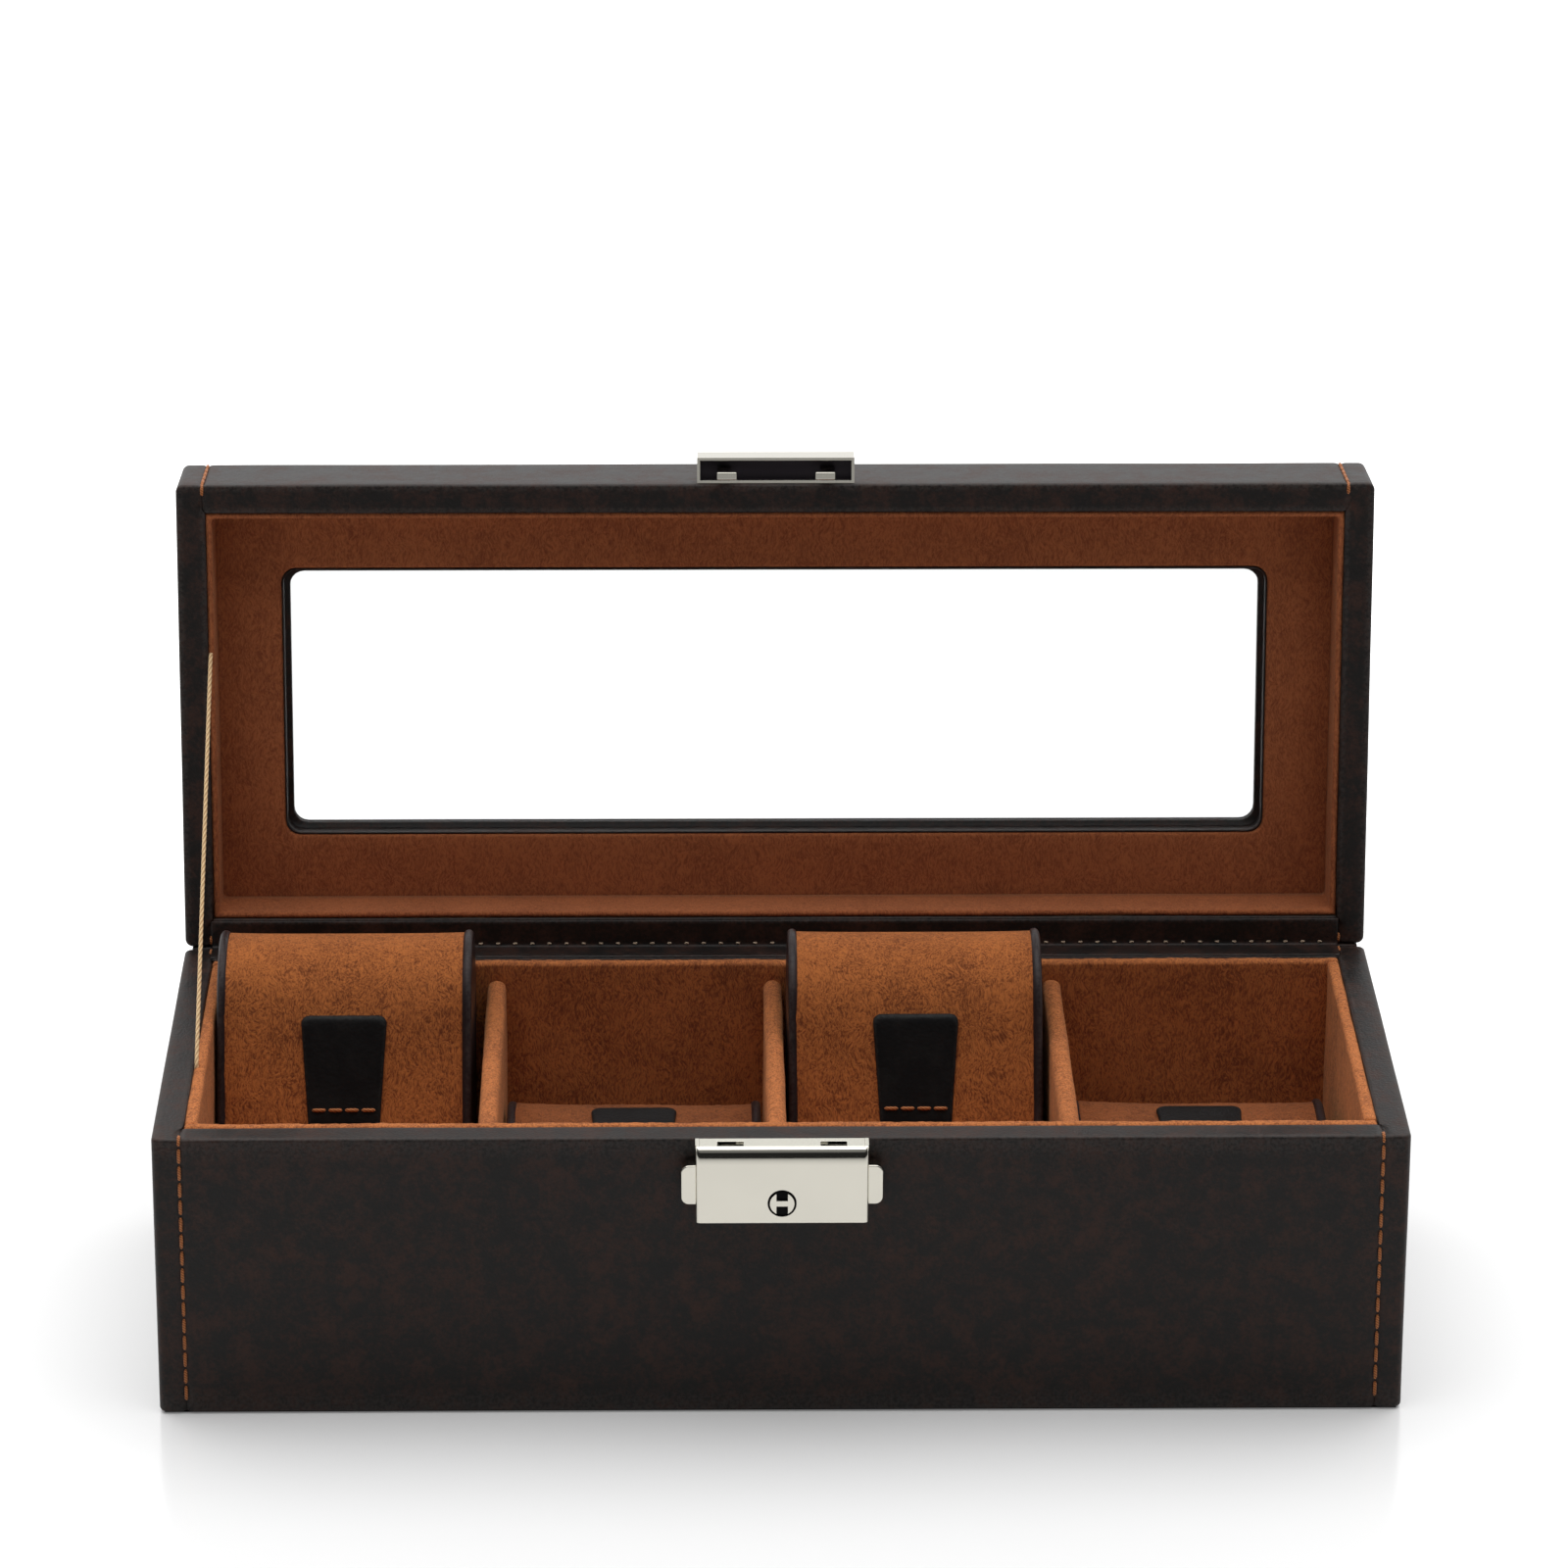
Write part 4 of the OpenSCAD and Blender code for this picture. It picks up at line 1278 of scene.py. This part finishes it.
@dataclass
class Lid:
    """Leather-covered frame with a glazed window, lined with suede. It is drawn closed and turned open."""

    half_x: float = 160.0
    half_y: float = 64.0
    rim: float = 77.8
    top: float = 104.8
    cover: float = 103.6
    glass: float = 102.0
    wall: float = 7.8
    panel: float = 95.0
    window: tuple[float, float, float] = (266.6, 74.5, 3.9)
    trim: float = 2.0
    lining: float = 1.6
    seam_x: float = 153.0
    edge: float = 0.9
    wave_length: float = 60.0
    nap_top: float = 2.0
    nap_fade: float = 1.2
    hinge: Hinge = field(default_factory=Hinge.of_lid)
    sewing: Sewing = field(default_factory=Sewing)

    def covers(self) -> None:
        """Wraps the lid's walls in four panels that turn over its rim, and sews their seams."""
        wrap = Wrap(self.half_x, self.half_y, BOX_CORNER, self.seam_x)
        profile = rim_profile(self.wall, self.rim, self.top, self.edge, up=True)
        skin, thread = Skin(), Skin()
        for side, turned in ((False, False), (True, False), (False, True), (True, True)):
            wrap.panel(skin, profile, side, turned, self.hinge.opened)
        for turned in (False, True):
            for x in (-self.seam_x, self.seam_x):
                path, out = wrap.seam(profile, x, turned, self.hinge.opened)
                self.sewing.sew(thread, path, out, SEAM_LEAD)
        dress(skin.build("lid_side_cover"), LEATHER, "leather", Body.LID, "lid_edge_leather")
        dress(thread.build("lid_seam_stitches"), ORANGE_THREAD, "leather", Body.LID)

    def frame_piece(self, rows: Sequence[tuple[float, ...]], name: str, finish: Finish, slot: str, node: str,
                    depth: float = 0.1, side: int = 70) -> None:
        """Makes one closed frame from rows of round-cornered rectangles that go once round its section.

        Args:
            rows: Width, depth, corner radius and height of each.
            name: Name of the piece.
            finish: What it is made of.
            slot: The record's material slot.
            node: CAD node that it replaces.
            depth: Unevenness of its faces.
            side: Points along each side.
        """
        grid = ring(rows, side=side)
        grid[..., 2] += ripple(grid * [1, 1, 0], depth, self.wave_length, rows[0][0])
        if finish is LID_SUEDE:
            near_rim = np.clip((self.rim + self.nap_top - grid[..., 2]) / self.nap_fade, 0, 1)
            grid[..., 2] += tufts(grid) * near_rim
        skin = Skin()
        skin.add(self.hinge.opened(grid), loop_rows=True, loop_cols=True)
        dress(skin.build(name), finish, slot, Body.LID, node)

    def linings(self) -> None:
        """Lines the inside with a panel that has the window's opening, and with a band round the walls."""
        w, d, r = self.window
        x, y = 2 * (self.half_x - self.wall), 2 * (self.half_y - self.wall)
        z, t = self.panel, self.lining
        outside = grown_rows((x, y, 0.4, z), [(-0.1, 0, t), (-0.1, 0, 0.3), (-0.8, 0, 0)])
        face = smooth_rows((x - 4, y - 4, 0.8, z), (w + 3.2, d + 3.2, r + 1.6, z), 8)
        opening = grown_rows((w, d, r, z), [(2.0, 1.0, 0.02), (0.9, 0.45, 0.16), (0.25, 0.1, 0.5),
                                            (0, 0, 0.9), (0, 0, t)])
        self.frame_piece(outside + face + opening, "lid_panel_lining", LID_SUEDE, "lid_suede",
                         "lid_lining_panel", 0.08)
        low = self.rim + 0.8
        outside = [(x, y, 0.3, z), (x, y, 0.3, low + 0.7)]
        edge = grown_rows((x, y, 0, low), [(-0.3, 0.4, 0.2), (-t, 0.6, 0), (0.3 - 2 * t, 0.8, 0.2),
                                           (-2 * t, 1.0, 0.8)])
        last = (x - 2 * t, y - 2 * t, 1.0, z)
        inside = smooth_rows((*last[:3], low + 2.5), last, 4)
        self.frame_piece([*outside, *edge, *inside, last], "lid_wall_band", LID_SUEDE, "lid_suede",
                         "lid_wall_lining", 0.30, 330)

    def window_frame(self) -> None:
        """Frames the window with leather inside and on top, and glazes it."""
        w, d, r = self.window
        wide, glass, low = 2 * self.trim, self.glass, self.panel + 0.45
        outside = [(w - 0.05, d - 0.05, r, glass - 0.05)]
        edge = grown_rows((w, d, r, low), [(-0.05, 0, 0.3), (-0.5, 0, 0), (-1.0, 0, 0.2)])
        inside = smooth_rows((w - 1.1, d - 1.1, r, low + 0.8), (w - 1.1, d - 1.1, r, glass - 1.9), 4)
        lip = grown_rows((w, d, r, glass), [(-1.1, 0, -1.9), (-1.5, 0, -1.4), (0.6 - wide, 0, -1.3),
                                            (-wide, 0, -0.9), (-wide, 0, -0.05)])
        self.frame_piece(outside + edge + inside + lip, "window_reveal", LEATHER, "leather",
                         "window_trim", 0.05)
        x, y, z = 2 * self.half_x - 2.5, 2 * self.half_y - 2.5, self.top
        w, d, under = w - wide, d - wide, self.cover + 0.05
        outside = [(x, y, 1.8, under), (x, y, 1.8, z - 0.25), (x - 0.5, y - 0.5, 1.6, z - 0.04)]
        face = smooth_rows((x - 2, y - 2, 1.6, z), (w + 4, d + 4, r + 2, z), 7)
        opening = grown_rows((w, d, r, z), [(2.0, 1.0, -0.03), (0.8, 0.4, -0.2), (0.1, 0, -0.6)])
        opening += [(w + 0.1, d + 0.1, r, under)]
        self.frame_piece(outside + face + opening, "lid_top_cover", LEATHER, "leather",
                         "lid_top_leather", 0.05)
        refinish(GLASS, "window_glass")

    def build(self) -> None:
        """Builds the lid."""
        self.covers()
        self.linings()
        self.window_frame()
        refinish(BOARD, *(f"lid_{part}_board" for part in ("top", "front", "back", "left", "right")))


# Between the base and the lid


def parabola(start: Array, middle: Array, end: Array, count: int) -> Array:
    """Points along a parabola from start to end, which leaves and arrives in line with the middle."""
    t = np.linspace(0, 1, count)[:, None]
    return (1 - t) ** 2 * start + 2 * t * (1 - t) * middle + t**2 * end


@dataclass
class Hinging:
    """The leather strips that hinge the lid, and the cord that stays it."""

    half_strip: float = 152.8
    strip_in: float = 56.3
    half_spine: float = 158.2
    spine_long: float = 24.0
    cord_x: float = -151.5
    cord_reach: float = 81.5
    cord_tuck: float = 3.5
    cord_r: float = 0.55
    cord_bend: float = 1.9
    cord_pitch: float = 5.4
    strands: int = 3
    strip_thick: float = 0.34
    spine_thick: float = 0.95
    hinge: Hinge = field(default_factory=Hinge.of_lid)

    def bent_sheet(self, path: Array, half: float, thick: float, name: str) -> bpy.types.Object:
        """A strip of leather: a path in the YZ plane carried along X, with a thickness and soft ends.

        Args:
            path: Y and Z of the strip's outer face.
            half: Half of its width along X.
            thick: Thickness, to the left of the path as it runs.
            name: Name of the piece.

        Returns:
            The strip.
        """
        x = edge_places(2 * half, 6.0, (0.0, 0.15, 0.4, 0.9, 1.6)) - half
        slope = unit(np.gradient(path, axis=0))
        left = np.stack([-slope[:, 1], slope[:, 0]], axis=1)
        s = distances(path)
        end = np.minimum(s, s[-1] - s)
        share, taper = (np.sqrt(np.clip(1 - (1 - np.clip(away / turn, 0, 1)) ** 2, 0.0025, 1))
                        for away, turn in ((half - np.abs(x), 1.0), (end, 0.8)))
        half_t = thick / 2 * share[:, None] * taper[None, :]
        mid = path + left * thick / 2
        grids = [stack_of(np.broadcast_to(x[:, None], half_t.shape), mid[:, 0] + k * half_t * left[:, 0],
                          mid[:, 1] + k * half_t * left[:, 1]) for k in (-1, 1)]
        wear = np.broadcast_to(np.exp(-(end**2)), half_t.shape)
        skin = Skin()
        skin.add(grids[0], wear=wear)
        skin.add(grids[1][:, ::-1], wear=wear[:, ::-1])
        skin.add_rims(*grids)
        return skin.build(name)

    def corner_path(self, y0: float, z0: float, inner: bool) -> Array:
        """A path along the base, round the hinge line and along the open lid.

        Args:
            y0: How far from the hinge line the path starts along the base, and ends along the lid.
            z0: How far the path stands off the hinge line.
            inner: Whether the path lies on the rims, and not down the back.

        Returns:
            Y and Z of each point, from the base to the lid.
        """
        a, h = self.hinge.angle, self.hinge
        if inner:
            base_way, lid_way = np.array([-1.0, 0.0]), np.array([-math.cos(a), math.sin(a)])
            base_off, lid_off = np.array([0.0, 1.0]), np.array([-math.sin(a), -math.cos(a)])
        else:
            base_way, lid_way = np.array([0.0, -1.0]), np.array([math.sin(a), math.cos(a)])
            base_off, lid_off = np.array([1.0, 0.0]), np.array([math.cos(a), -math.sin(a)])
        corner = np.array([h.y, h.z]) + z0 * (base_off + lid_off) / (1 + base_off @ lid_off)
        reach = 1.4
        bend = parabola(corner + reach * base_way, corner, corner + reach * lid_way, 9)
        start = corner + np.linspace(y0, reach, 14)[:-1, None] * base_way
        end = corner + np.linspace(reach, y0, 14)[1:, None] * lid_way
        return np.concatenate([start, bend, end])

    def strips(self) -> None:
        """Lays the inner strip over both rims and the spine down the back, each bent at the hinge line."""
        h = self.hinge
        path = self.corner_path(h.y - self.strip_in - 0.1, -0.4, True)
        strip = self.bent_sheet(path, self.half_strip, self.strip_thick, "rim_hinge_strip")
        dress(strip, LEATHER, "leather", None, "hinge_strip")
        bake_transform(strip)
        path = self.corner_path(self.spine_long, 0.05, False)[::-1]
        spine = self.bent_sheet(path, self.half_spine, self.spine_thick, "back_spine")
        dress(spine, LEATHER, "leather", None, "hinge_spine")
        above = h.opened(np.array([0.0, h.y, h.z + 1.6])) * MM
        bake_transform(spine)

    def rim_stitches(self) -> None:
        """Sews the inner strip along the lid's rear rim, close above the fold."""
        h = self.hinge
        x = np.linspace(-self.half_strip + 2, self.half_strip - 2, 400)
        line = stack_of(x, np.full_like(x, h.y - 0.75), np.full_like(x, h.z + 0.06))
        path = h.opened(line)
        out = h.opened(line - [0, 0, 1.0]) - path
        skin = Skin()
        count = Sewing(pitch=4.65, gap=3.4, radius=0.34, lift=0.03).sew(skin, path, out, 0.5)
        dress(skin.build("rim_strip_stitches"), PALE_THREAD, "leather", Body.LID)
        LOG.info("%d stitches along the hinge", count)

    def cord_path(self) -> Array:
        """The cord's line: up out of the base, straight to the lid and in behind its lining.

        The bends are parabolas between the straight parts, which touch both.

        Returns:
            Points from the base to the lid.
        """
        h = self.hinge
        low = np.array([self.cord_x, h.y - self.cord_reach, h.z])
        high = h.opened(low)
        into = h.opened(low + [0, 0, self.cord_tuck])
        way = unit(high - low)
        tucks = np.array([0, 0, -1.0]), unit(into - high)
        cut = self.cord_bend
        tuck = np.array([[self.cord_tuck], [(self.cord_tuck + cut) / 2]])
        s = np.linspace(0, 1, 14)[1:-1, None]
        return np.concatenate([
            low + tucks[0] * tuck,
            parabola(low + tucks[0] * cut, low, low + way * cut, 8),
            (low + way * cut) * (1 - s) + (high - way * cut) * s,
            parabola(high - way * cut, high, high + tucks[1] * cut, 8),
            high + tucks[1] * tuck[::-1],
        ])

    def cord(self) -> None:
        """Makes the stay cord: three strands laid round each other, as a tube with three lobes that turn.

        A point at angle a and distance s along has the radius
        R (0.80 + 0.20 |cos(n (a / 2 - pi s / pitch))|), where n is the number of strands.
        """
        path = self.cord_path()
        step = distances(path)
        s = np.linspace(0, step[-1], 620)
        line = np.stack([np.interp(s, step, path[:, k]) for k in range(3)], axis=1)
        way = unit(np.gradient(line, axis=0))
        across = np.broadcast_to([1.0, 0.0, 0.0], line.shape)
        sides = 6 * self.strands
        a = np.linspace(0, 2 * math.pi, sides, endpoint=False)
        lobe = np.abs(np.cos(self.strands * (a[None, :] / 2 - math.pi * s[:, None] / self.cord_pitch)))
        radius = self.cord_r * (0.80 + 0.20 * lobe)
        skin = Skin()
        # The lobe values also fill the wear channel, where the cord's finish reads them to paint shade into
        # the grooves between the strands.
        skin.add(tube(line, across, np.cross(way, across), radius[..., None], sides), loop_cols=True,
                 wear=np.concatenate([lobe[:1], lobe, lobe[-1:]]))
        cord = dress(skin.build("stay_cord"), GOLD_CORD, "gold_cord", None, "lid_stay_cord")
        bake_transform(cord)
        LOG.info("cord is %.1f mm long", step[-1])

    def build(self) -> None:
        """Builds the cord first, and then the strips."""
        self.cord()
        self.strips()
        self.rim_stitches()


# Lock and strike


@dataclass
class Lock:
    """Push-button lock on the base and its strike on the lid."""

    front: float = -71.2
    top: float = 77.0
    brow: tuple[float, float] = (1.8, 4.2)
    end_round: float = 1.3
    skin_play: float = 0.15

    def round_ends(self, obj: bpy.types.Object) -> None:
        """Rounds off the case's front towards both its sides.

        The front is cut along Z near each side, and its points move back by R (1 - sqrt(1 - u^2)), where u
        runs from 0 to 1 over the last R millimetres.

        Args:
            obj: The case's piece.
        """
        reach = self.end_round
        half = float(np.abs(vertex_places(obj.data)[:, 0]).max()) / MM
        work = bmesh.new()
        work.from_mesh(obj.data)
        for x in np.outer([-1, 1], half - reach + reach * np.sin(np.radians([0, 18, 36, 54, 72]))).ravel():
            bmesh.ops.bisect_plane(work, geom=[*work.verts, *work.edges, *work.faces], dist=1e-7,
                                   plane_co=(x * MM, 0, 0), plane_no=(1, 0, 0))
        work.to_mesh(obj.data)
        work.free()
        places = vertex_places(obj.data) / MM
        rise = np.clip(1 - (self.top - places[:, 2]) / self.brow[1], 0, 1)
        line = self.front + self.brow[0] * (1 - np.sqrt(1 - rise**2))
        outer = np.abs(places[:, 1] - line) < self.skin_play
        u = np.clip((np.abs(places[:, 0]) - half + reach) / reach, 0, 1)
        places[:, 1] += outer * reach * (1 - np.sqrt(1 - u**2))
        obj.data.vertices.foreach_set("co", (places * MM).astype(np.float32).ravel())
        obj.data.set_sharp_from_angle(angle=SHARP)
        obj.data.update()

    def spring(self, node: str, button: Body, wire: float = 0.23, turns: float = 5.5) -> None:
        """Winds a coil spring that a button squeezes: a helix x = a + t L, with its angle 2 pi turns t.

        Args:
            node: CAD node that it replaces.
            button: Body at its outer end.
            wire: Radius of the wire.
            turns: Number of turns.
        """
        low, high = corners(node)
        middle = (low + high) / 2
        t = np.linspace(0, 1, 170)
        angle = 2 * math.pi * turns * t
        out = stack_of(np.zeros_like(t), np.cos(angle), np.sin(angle))
        along = low[0] + wire + t * (high[0] - low[0] - 2 * wire)
        line = out * ((high[2] - low[2]) / 2 - wire) + stack_of(along, middle[1], middle[2])
        way = unit(np.gradient(line, axis=0))
        skin = Skin()
        skin.add(tube(line, out, np.cross(way, out), wire, 8), loop_cols=True)
        coil = dress(skin.build(f"{button.value}_coil"), STEEL, "plain_steel", None, node)
        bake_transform(coil)

    def build(self) -> None:
        """Builds the case, buttons, key cylinder, strike and hooks, and finishes the hidden works."""
        low, high = corners("key_cylinder")
        # Painted shade: the key barrel behind its front face and the strike's pocket are drawn dark and not
        # metallic.
        face = Metal("nickel_key_face_painted_shade", shaded_recess=((low[0] - 1, self.front + 0.10, low[2] - 1),
                                                (high[0] + 1, self.front + 2.0, high[2] + 1)))
        low, high = corners("strike_plate")
        struck = Metal("nickel_strike_pocket_painted_shade", shaded_recess=((low[0] + 0.75, low[1] + 0.95, low[2] + 0.75),
                                                       (high[0] - 0.75, low[1] + 3.3, high[2] - 0.75)),
                       shade_colour=(0.030, 0.025, 0.030))
        shell = softened_copy("lock_shell", "lock_case", 0.28)
        self.round_ends(shell)
        dress(shell, NICKEL, "polished_nickel", Body.BASE, "lock_case")
        for name, node, width, finish, body in (
            ("lock_top_plate", "lock_slot_plate", 0.14, NICKEL, Body.BASE),
            ("left_push_button", "left_button", 0.32, NICKEL, Body.LEFT_BUTTON),
            ("right_push_button", "right_button", 0.32, NICKEL, Body.RIGHT_BUTTON),
            ("key_barrel", "key_cylinder", 0.10, face, Body.KEY),
            ("strike_shell", "strike_plate", 0.25, struck, Body.LID),
            ("strike_prongs", "strike_hooks", 0.22, NICKEL, Body.LID),
        ):
            dress(softened_copy(name, node, width), finish, "polished_nickel", body, node)
        self.spring("left_lock_spring", Body.LEFT_BUTTON)
        self.spring("right_lock_spring", Body.RIGHT_BUTTON)
        refinish(STEEL, "lock_back_plate", "lock_screws", "left_catch", "right_catch", "lock_cam",
                 "strike_screws")


# Pillows


@dataclass(frozen=True)
class PillowShape:
    """Sizes of a pillow, drawn lying flat with its top end towards +Y and centred on the origin."""

    side: float = 33.2
    half: float = 22.0
    radius: float = 20.0
    tab_top: float = 19.4
    tab_low: float = -10.0
    tab_w: float = 22.6
    tab_end_w: float = 18.6
    tab_t: float = 1.6
    tab_corner: float = 2.1
    tab_lift: float = 0.02
    stitch_y: float = -5.4
    stitch_half: float = 8.7
    pole: float = 19.99
    slack: float = 0.75
    slack_end: float = 0.40

    def track(self, inset: float, straight: int = 16, arc: int = 20) -> Array:
        """The side outline, moved in: two straight sides joined by half circles.

        Args:
            inset: How far in it lies.
            straight: Points along each straight side.
            arc: Points round each half circle.

        Returns:
            Y and Z of each point, once round.
        """
        r = max(self.radius - inset, 0.01)
        a = np.linspace(-math.pi / 2, math.pi / 2, arc, endpoint=False)
        run = np.linspace(self.half, -self.half, straight, endpoint=False)
        one = np.concatenate([np.stack([self.half + r * np.cos(a), r * np.sin(a)], axis=1),
                              np.stack([run, np.full_like(run, r)], axis=1)])
        return np.concatenate([one, -one])

    def rows(self, places: Sequence[tuple[float, float]]) -> Array:
        """Outlines at places along X, as a grid whose columns close on themselves.

        Args:
            places: X and inset of each outline.

        Returns:
            The grid.
        """
        tracks = [(x, self.track(inset)) for x, inset in places]
        return np.stack([stack_of(x, t[:, 0], t[:, 1]) for x, t in tracks])

    def roll(self) -> Skin:
        """The suede roll before it is stuffed, a little slack between its ends."""
        x = np.linspace(-self.side, self.side, 41)
        inset = self.slack - (self.slack - self.slack_end) * (np.abs(x) / self.side) ** 4
        caps = [self.pole, 16.0, 12.0, 8.0, 4.0, 2.0]
        places = [*((-self.side, k) for k in caps), *zip(x, inset), *((self.side, k) for k in caps[::-1])]
        skin = Skin()
        skin.add(self.rows(places), loop_cols=True)
        return skin

    def side_cover(self, flip: float) -> Array:
        """A leather side with a rolled edge and a slightly domed face.

        Args:
            flip: 1 for the right-hand side, and -1 for the left.

        Returns:
            The grid.
        """
        back = [(31.0, self.pole), (31.0, 2.0), (31.15, 0.6)]
        rolled = [(31.5, 0.12), (32.1, -0.15), (32.8, -0.12), (33.3, 0.2), (33.6, 0.7), (33.62, 1.3),
                  (33.55, 1.9)]
        face = [(33.7, 3.2), (33.85, 6.0), (33.95, 11.0), (34.0, 15.0), (34.0, self.pole)]
        return self.rows([(flip * x, inset) for x, inset in back + rolled + face])

    def tab(self, height: float) -> tuple[Array, Array]:
        """The pull tab: a strap with round corners at its free end and a soft edge all round.

        Each row is the outline drawn in towards its middle by a share, at its own height.

        Args:
            height: Height of its underside.

        Returns:
            The grid and the wear of its rows.
        """
        w, e, c = self.tab_w / 2, self.tab_end_w / 2, self.tab_corner
        loop = corner_loop([[-e, self.tab_low], [e, self.tab_low], [w, self.tab_top], [-w, self.tab_top]],
                           [0.5, 0.5, c, c], side=16, arc=6)
        middle = np.array([0.0, (self.tab_top + self.tab_low) / 2])
        under = [(1.0, 0.0), (0.5, 0.0), (0.03, 0.0)]
        edge = [(0.0, 0.25), (-0.012, 0.5), (0.0, 0.85), (0.018, 1.15), (0.045, 1.4), (0.08, 1.52),
                (0.14, 1.58)]
        top = [(0.3, 1.60), (0.6, 1.62), (0.999, 1.62)]
        grid = np.stack([stack_of(*(middle + (loop - middle) * (1 - share)).T, height + z * self.tab_t / 1.6)
                         for share, z in under + edge + top])
        wear = np.array([0, 0, 0, 0.2, 0.5, 0.9, 1.0, 0.8, 0.3, 0.1, 0, 0, 0])[:, None]
        return grid, np.broadcast_to(wear, grid.shape[:2])


@dataclass
class Pillow:
    """One watch pillow in its bay."""

    number: int
    lean: float = 22.0
    shape: PillowShape = field(default_factory=PillowShape)

    def placed(self, points: Array) -> Array:
        """Turns points of the lying pillow to the way it sits, and moves them to its bay.

        Args:
            points: Places on the pillow, drawn flat about the origin.

        Returns:
            The same places in its bay. Odd pillows stand and lean back, and even ones lie.
        """
        low, high = corners(f"pillow_{self.number}_roll")
        centre = (low + high) / 2
        a = math.radians(90 - self.lean) if self.number % 2 else 0.0
        y, z = points[..., 1], points[..., 2]
        return stack_of(points[..., 0] + centre[0], centre[1] + y * math.cos(a) - z * math.sin(a),
                        centre[2] + y * math.sin(a) + z * math.cos(a))

    def build(self, stuffed: tuple[Array, list]) -> None:
        """Builds the roll, its sides, its tab and the tab's stitches.

        Args:
            stuffed: Points and faces of the stuffed roll, drawn flat about the origin.
        """
        n, body = self.number, f"pillow_{self.number}"
        shape = self.shape
        points, faces = stuffed
        slope = 0.25 * points[:, 0] / shape.side
        share = 1 + (ripple(points, 0.30, 42.0, 2.3 * n) - slope + tufts(points, 0.13)) / shape.radius
        points = points * stack_of(1.0, 1.0, share)
        mesh = bpy.data.meshes.new(f"pillow_{n}_suede")
        mesh.from_pydata((self.placed(points) * MM).tolist(), [], faces)
        shade_smooth(mesh)
        roll = linked(f"pillow_{n}_suede", mesh)
        # Lying pillows take the darker copy of the suede, with painted shade in its colour.
        dress(roll, PILLOW_SUEDE if n % 2 else SHADED_LYING_SUEDE, "pillow_suede", body, f"{body}_roll")
        sides = Skin()
        worn = np.array([0, 0, 0, 0.1, 0.5, 0.9, 1, 0.6, 0.2, 0, 0, 0, 0, 0, 0])[:, None]
        for flip in (-1.0, 1.0):
            sides.add(self.placed(shape.side_cover(flip)), loop_cols=True, wear=worn)
        dress(sides.build(f"pillow_{n}_sides"), PILLOW_LEATHER, "pillow_end_leather", body, f"{body}_ends")
        tab = Skin()
        height = shape.radius + shape.tab_lift
        grid, wear = shape.tab(height)
        tab.add(self.placed(grid), loop_cols=True, wear=wear)
        dress(tab.build(f"pillow_{n}_pull_tab"), TAB_LEATHER, "tab_leather", body, f"{body}_tab")
        thread = Skin()
        x = np.linspace(-shape.stitch_half, shape.stitch_half, 60)
        line = stack_of(x, shape.stitch_y, height + shape.tab_t - 0.05)
        path = self.placed(line)
        out = self.placed(line + [0.0, 0.0, 1.0]) - path
        Sewing(pitch=4.35, gap=0.5, radius=0.5, lift=0.18).sew(thread, path, out, 0.2)
        dress(thread.build(f"pillow_{n}_tab_stitches"), ORANGE_THREAD, "tab_leather", body)


@dataclass(frozen=True)
class Stuffing:
    """Stuffs a slack form: air pressure swells it as cloth, while its ends are sewn to the sides."""

    reach: float = 1.2
    sewn_width: float = 2.4
    mass: float = 0.3
    pressure: float = 4.0
    quality: int = 6
    frames: int = 20

    def swollen(self, form: bpy.types.Object, limit_x: float) -> Array:
        """Where the cloth comes to rest.

        Args:
            form: The slack form.
            limit_x: Half of the form's width, in millimetres.

        Returns:
            The place of each of its points, in metres.
        """
        cloth = form.modifiers.new("cloth", "CLOTH")
        cloth.settings.quality = self.quality
        cloth.settings.mass = self.mass
        cloth.settings.use_pressure = True
        cloth.settings.uniform_pressure_force = self.pressure
        cloth.settings.effector_weights.gravity = 0.0
        near_side = np.abs(vertex_places(form.data)[:, 0]) > (limit_x - self.sewn_width) * MM
        sewn = form.vertex_groups.new(name="sewn")
        sewn.add(np.flatnonzero(near_side).tolist(), 1.0, "REPLACE")
        cloth.settings.vertex_group_mass = sewn.name
        cloth.point_cache.frame_start, cloth.point_cache.frame_end = 1, self.frames
        scene = bpy.context.scene
        for step in range(1, self.frames + 1):
            scene.frame_set(step)
        places = vertex_places(form.evaluated_get(bpy.context.evaluated_depsgraph_get()).to_mesh())
        form.modifiers.clear()
        scene.frame_set(1)
        return places

    def stuff(self, skin: Skin, limit_x: float) -> tuple[Array, list]:
        """Stuffs a form. No point moves further than the reach, and none passes the limit along X.

        Args:
            skin: The slack form, in millimetres.
            limit_x: Half of its width.

        Returns:
            Points in millimetres and faces of the stuffed form.
        """
        form = skin.build("slack_form")
        rest = vertex_places(form.data)
        shift = ((self.swollen(form, limit_x) - rest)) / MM
        far = np.linalg.norm(shift, axis=1, keepdims=True)
        points = rest / MM + shift * np.minimum(1, self.reach / np.maximum(far, 1e-9))
        points[:, 0] = np.clip(points[:, 0], -limit_x, limit_x)
        form.data.vertices.foreach_set("co", (points * MM).astype(np.float32).ravel())
        smooth = form.modifiers.new("smooth", "SUBSURF")
        smooth.levels = smooth.render_levels = 1
        fine = bpy.data.meshes.new_from_object(form.evaluated_get(bpy.context.evaluated_depsgraph_get()))
        points = vertex_places(fine) / MM
        LOG.info("stuffed form: %d points, moved up to %.2f mm", len(points), float(far.max()))
        faces = [tuple(p.vertices) for p in fine.polygons]
        bpy.data.objects.remove(form)
        return points, faces


def main() -> None:
    """Builds the studio and then each sub-assembly, cord first."""
    logging.basicConfig(level=logging.INFO, format="%(message)s")
    Studio().build()
    Hinging().build()
    Base().build()
    Lid().build()
    Lock().build()
    shape = PillowShape()
    stuffed = Stuffing().stuff(shape.roll(), shape.side)
    for number in (1, 2, 3, 4):
        Pillow(number).build(stuffed)


if __name__ == "__main__":
    main()
